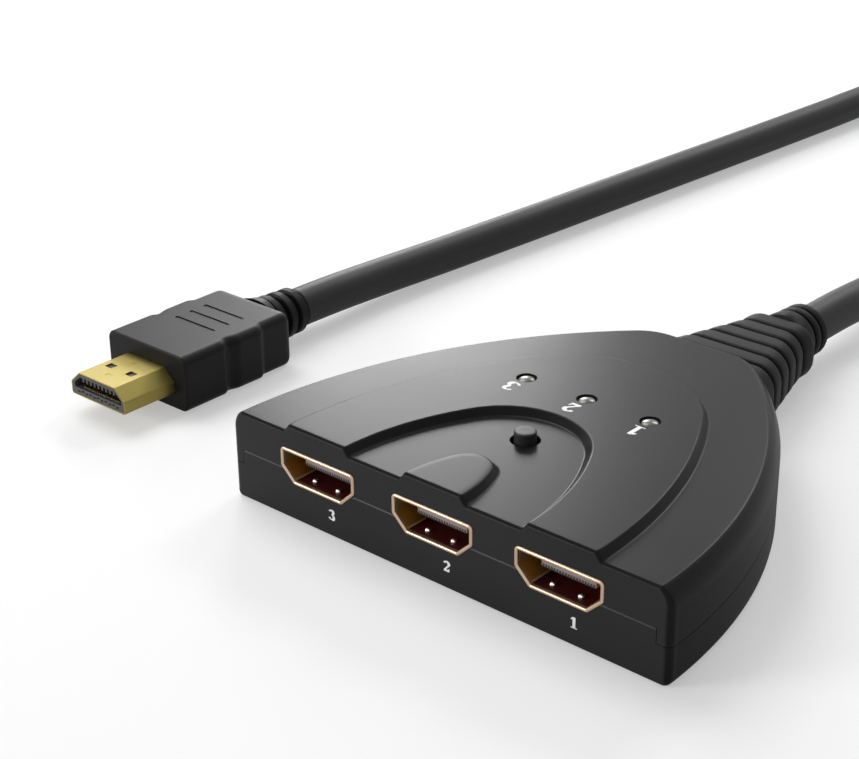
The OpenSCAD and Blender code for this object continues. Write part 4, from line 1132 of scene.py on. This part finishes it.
# Strokes of each numeral in shares of its height: across, up and width
NUMERALS = {
    1: [
        [(0.3, 0, 0.24), (0.3, 1, 0.24)], [(0.04, 0.76, 0.05), (0.2, 0.87, 0.24)],
        [(0.04, 0.04, 0.08), (0.56, 0.04, 0.08)],
    ],
    2: [
        swelling(arc((0.29, 0.71), 0.21, 170, -40, 18) + [(0.13, 0.15)], (0.2, 0.12, 0.24, 0.26, 0.14)),
        [(0.04, 0.1, 0.2), (0.54, 0.1, 0.2)], [(0.5, 0.17, 0.14), (0.56, 0.34, 0.04)],
    ],
    3: [
        swelling(arc((0.27, 0.75), 0.19, 165, -85, 18), (0.2, 0.11, 0.25, 0.23, 0.1)),
        swelling(arc((0.27, 0.28), 0.23, 88, -165, 20), (0.1, 0.24, 0.28, 0.11, 0.2)),
    ],
}
INK_LIFT, INK_STEP, INK_WIDE, INK_THICK = 0.02, 0.004, 1.15, 0.01
# Middle of a numeral in shares of its height, and height, weight and place of those on the top and the front
NUMERAL_MIDDLE = Vector((0.3, 0.5))
TOP_H, TOP_WEIGHT, TOP_AHEAD = 3.05, 0.85, 3.9
FRONT_H, FRONT_WEIGHT, FRONT_RIGHT, FRONT_UP = 1.75, 1, 2.75, 3.9


def numeral(name, number, height, weight, place):
    """Plain white numeral printed on the case, made of thin strokes."""
    bm = bmesh.new()
    for layer, stroke in enumerate(NUMERALS[number]):
        rows = []
        for k, (x, y, w) in enumerate(stroke):
            before, after = stroke[max(k - 1, 0)], stroke[min(k + 1, len(stroke) - 1)]
            run = Vector((after[0] - before[0], after[1] - before[1])).normalized()
            side = Vector((-run.y, run.x)) * w * weight / 2
            spot = Vector((x, y)) - NUMERAL_MIDDLE
            lift = INK_LIFT + layer * INK_STEP
            rows.append([(*((spot + side * s) * height), lift) for s in (1, -1)])
        skin(bm, rows)
    bmesh.ops.solidify(bm, geom=bm.faces[:], thickness=INK_THICK * MM)
    bmesh.ops.scale(bm, vec=(INK_WIDE, 1, 1), verts=bm.verts)
    bmesh.ops.transform(bm, matrix=place, verts=bm.verts)
    made = to_object(name, bm)
    return dress(made, "print_white")


for number, side in INPUTS:
    top = Matrix.Translation(Vector((side * LED_PITCH, FRONT_Y + LED_Y - TOP_AHEAD, HIGH_H)) * MM)
    top = top @ Matrix.Rotation(math.pi, 4, "Z")
    numeral(f"top_numeral_{number}", number, TOP_H, TOP_WEIGHT, top)
    front = Matrix.Translation(Vector((side * SOCKET_PITCH + FRONT_RIGHT, FRONT_Y, FRONT_UP)) * MM)
    front = front @ Matrix.Rotation(math.pi / 2, 4, "X")
    numeral(f"front_numeral_{number}", number, FRONT_H, FRONT_WEIGHT, front)


# Finish of the CAD pieces that stay

FINISH = {
    "steel": ("case_screws", "led_leads", "switch_cover", "switch_dome", "switch_terminals", "chip_leads"),
    "chip_plastic": ("switch_chip", "regulator", "resistors"),
    "board_mask": ("circuit_board",),
    "core_plastic": ("switch_housing",),
    "ceramic": ("capacitors",),
    "cable_jacket": ("cable_core",),
    "wire_plastic": ("cable_wires",),
}
for look, names in FINISH.items():
    for name in names:
        paint(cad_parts[name].data, look)


# Stage

FLOOR_GLOW, SKY_LIGHT, SKY_SEEN = 0.4, 0.3, 1.0
# Name, place, size and power of each lamp, and where they aim
LAMPS = (
    ("back_left_box", (-652, 652, 354), (200, 290), 2.8),
    ("upper_left_box", (-545, 160, 700), (480, 480), 4.5),
    ("rear_strip", (-180, 700, 530), (300, 160), 1.9),
    ("front_box", (-502, -666, 282), (320, 140), 3.4),
)
LAMP_AIM = (0, -20, 10)
FLOOR_HALF, FLOOR_CUTS, FLOOR_SHADE, FLOOR_ROUGH, FLOOR_SPECULAR = 4, 8, 0.9, 0.8, 0.1


def seen_rays(tree):
    """Value that is 1 for the camera, for gloss and for glass."""
    path = node(tree, "ShaderNodeLightPath").outputs
    shiny = calculate(tree, "MAXIMUM", path["Is Glossy Ray"], path["Is Transmission Ray"])
    return calculate(tree, "MAXIMUM", path["Is Camera Ray"], shiny)


def floor():
    """Pale floor that shows nearly white to the camera and keeps the object's shadow."""
    bm = bmesh.new()
    bmesh.ops.create_grid(bm, x_segments=FLOOR_CUTS, y_segments=FLOOR_CUTS, size=FLOOR_HALF)
    made = to_object("floor", bm)
    material, tree, shader = new_material("floor_paper")
    shader.inputs["Base Color"].default_value = grey(FLOOR_SHADE)
    shader.inputs["Roughness"].default_value = FLOOR_ROUGH
    shader.inputs["Specular IOR Level"].default_value = FLOOR_SPECULAR
    both = node(tree, "ShaderNodeMixShader")
    link(tree, calculate(tree, "MULTIPLY", seen_rays(tree), FLOOR_GLOW), both.inputs["Fac"])
    link(tree, shader.outputs["BSDF"], both.inputs[1])
    link(tree, node(tree, "ShaderNodeEmission").outputs["Emission"], both.inputs[2])
    link(tree, both.outputs["Shader"], tree.nodes["Material Output"].inputs["Surface"])
    made.data.materials.append(material)


def sky():
    """White surround for the camera, for gloss and for glass, with less light on everything else."""
    world = bpy.data.worlds.new("studio")
    world.use_nodes = True
    tree = world.node_tree
    back = tree.nodes["Background"]
    link(tree, between(tree, seen_rays(tree), SKY_LIGHT, SKY_SEEN), back.inputs["Strength"])
    back.inputs["Color"].default_value = grey(1)
    bpy.context.scene.world = world


def softbox(name, at, size, power):
    """Rectangular lamp that faces the object."""
    data = bpy.data.lights.new(name, "AREA")
    data.shape = "RECTANGLE"
    data.size, data.size_y = (s * MM for s in size)
    data.energy = power
    made = bpy.data.objects.new(name, data)
    place = Vector(at) * MM
    made.location = place
    made.rotation_euler = (Vector(LAMP_AIM) * MM - place).to_track_quat("-Z", "Y").to_euler()
    bpy.context.scene.collection.objects.link(made)


floor()
sky()
for lamp in LAMPS:
    softbox(*lamp)

bpy.context.scene.view_settings.view_transform = "Standard"
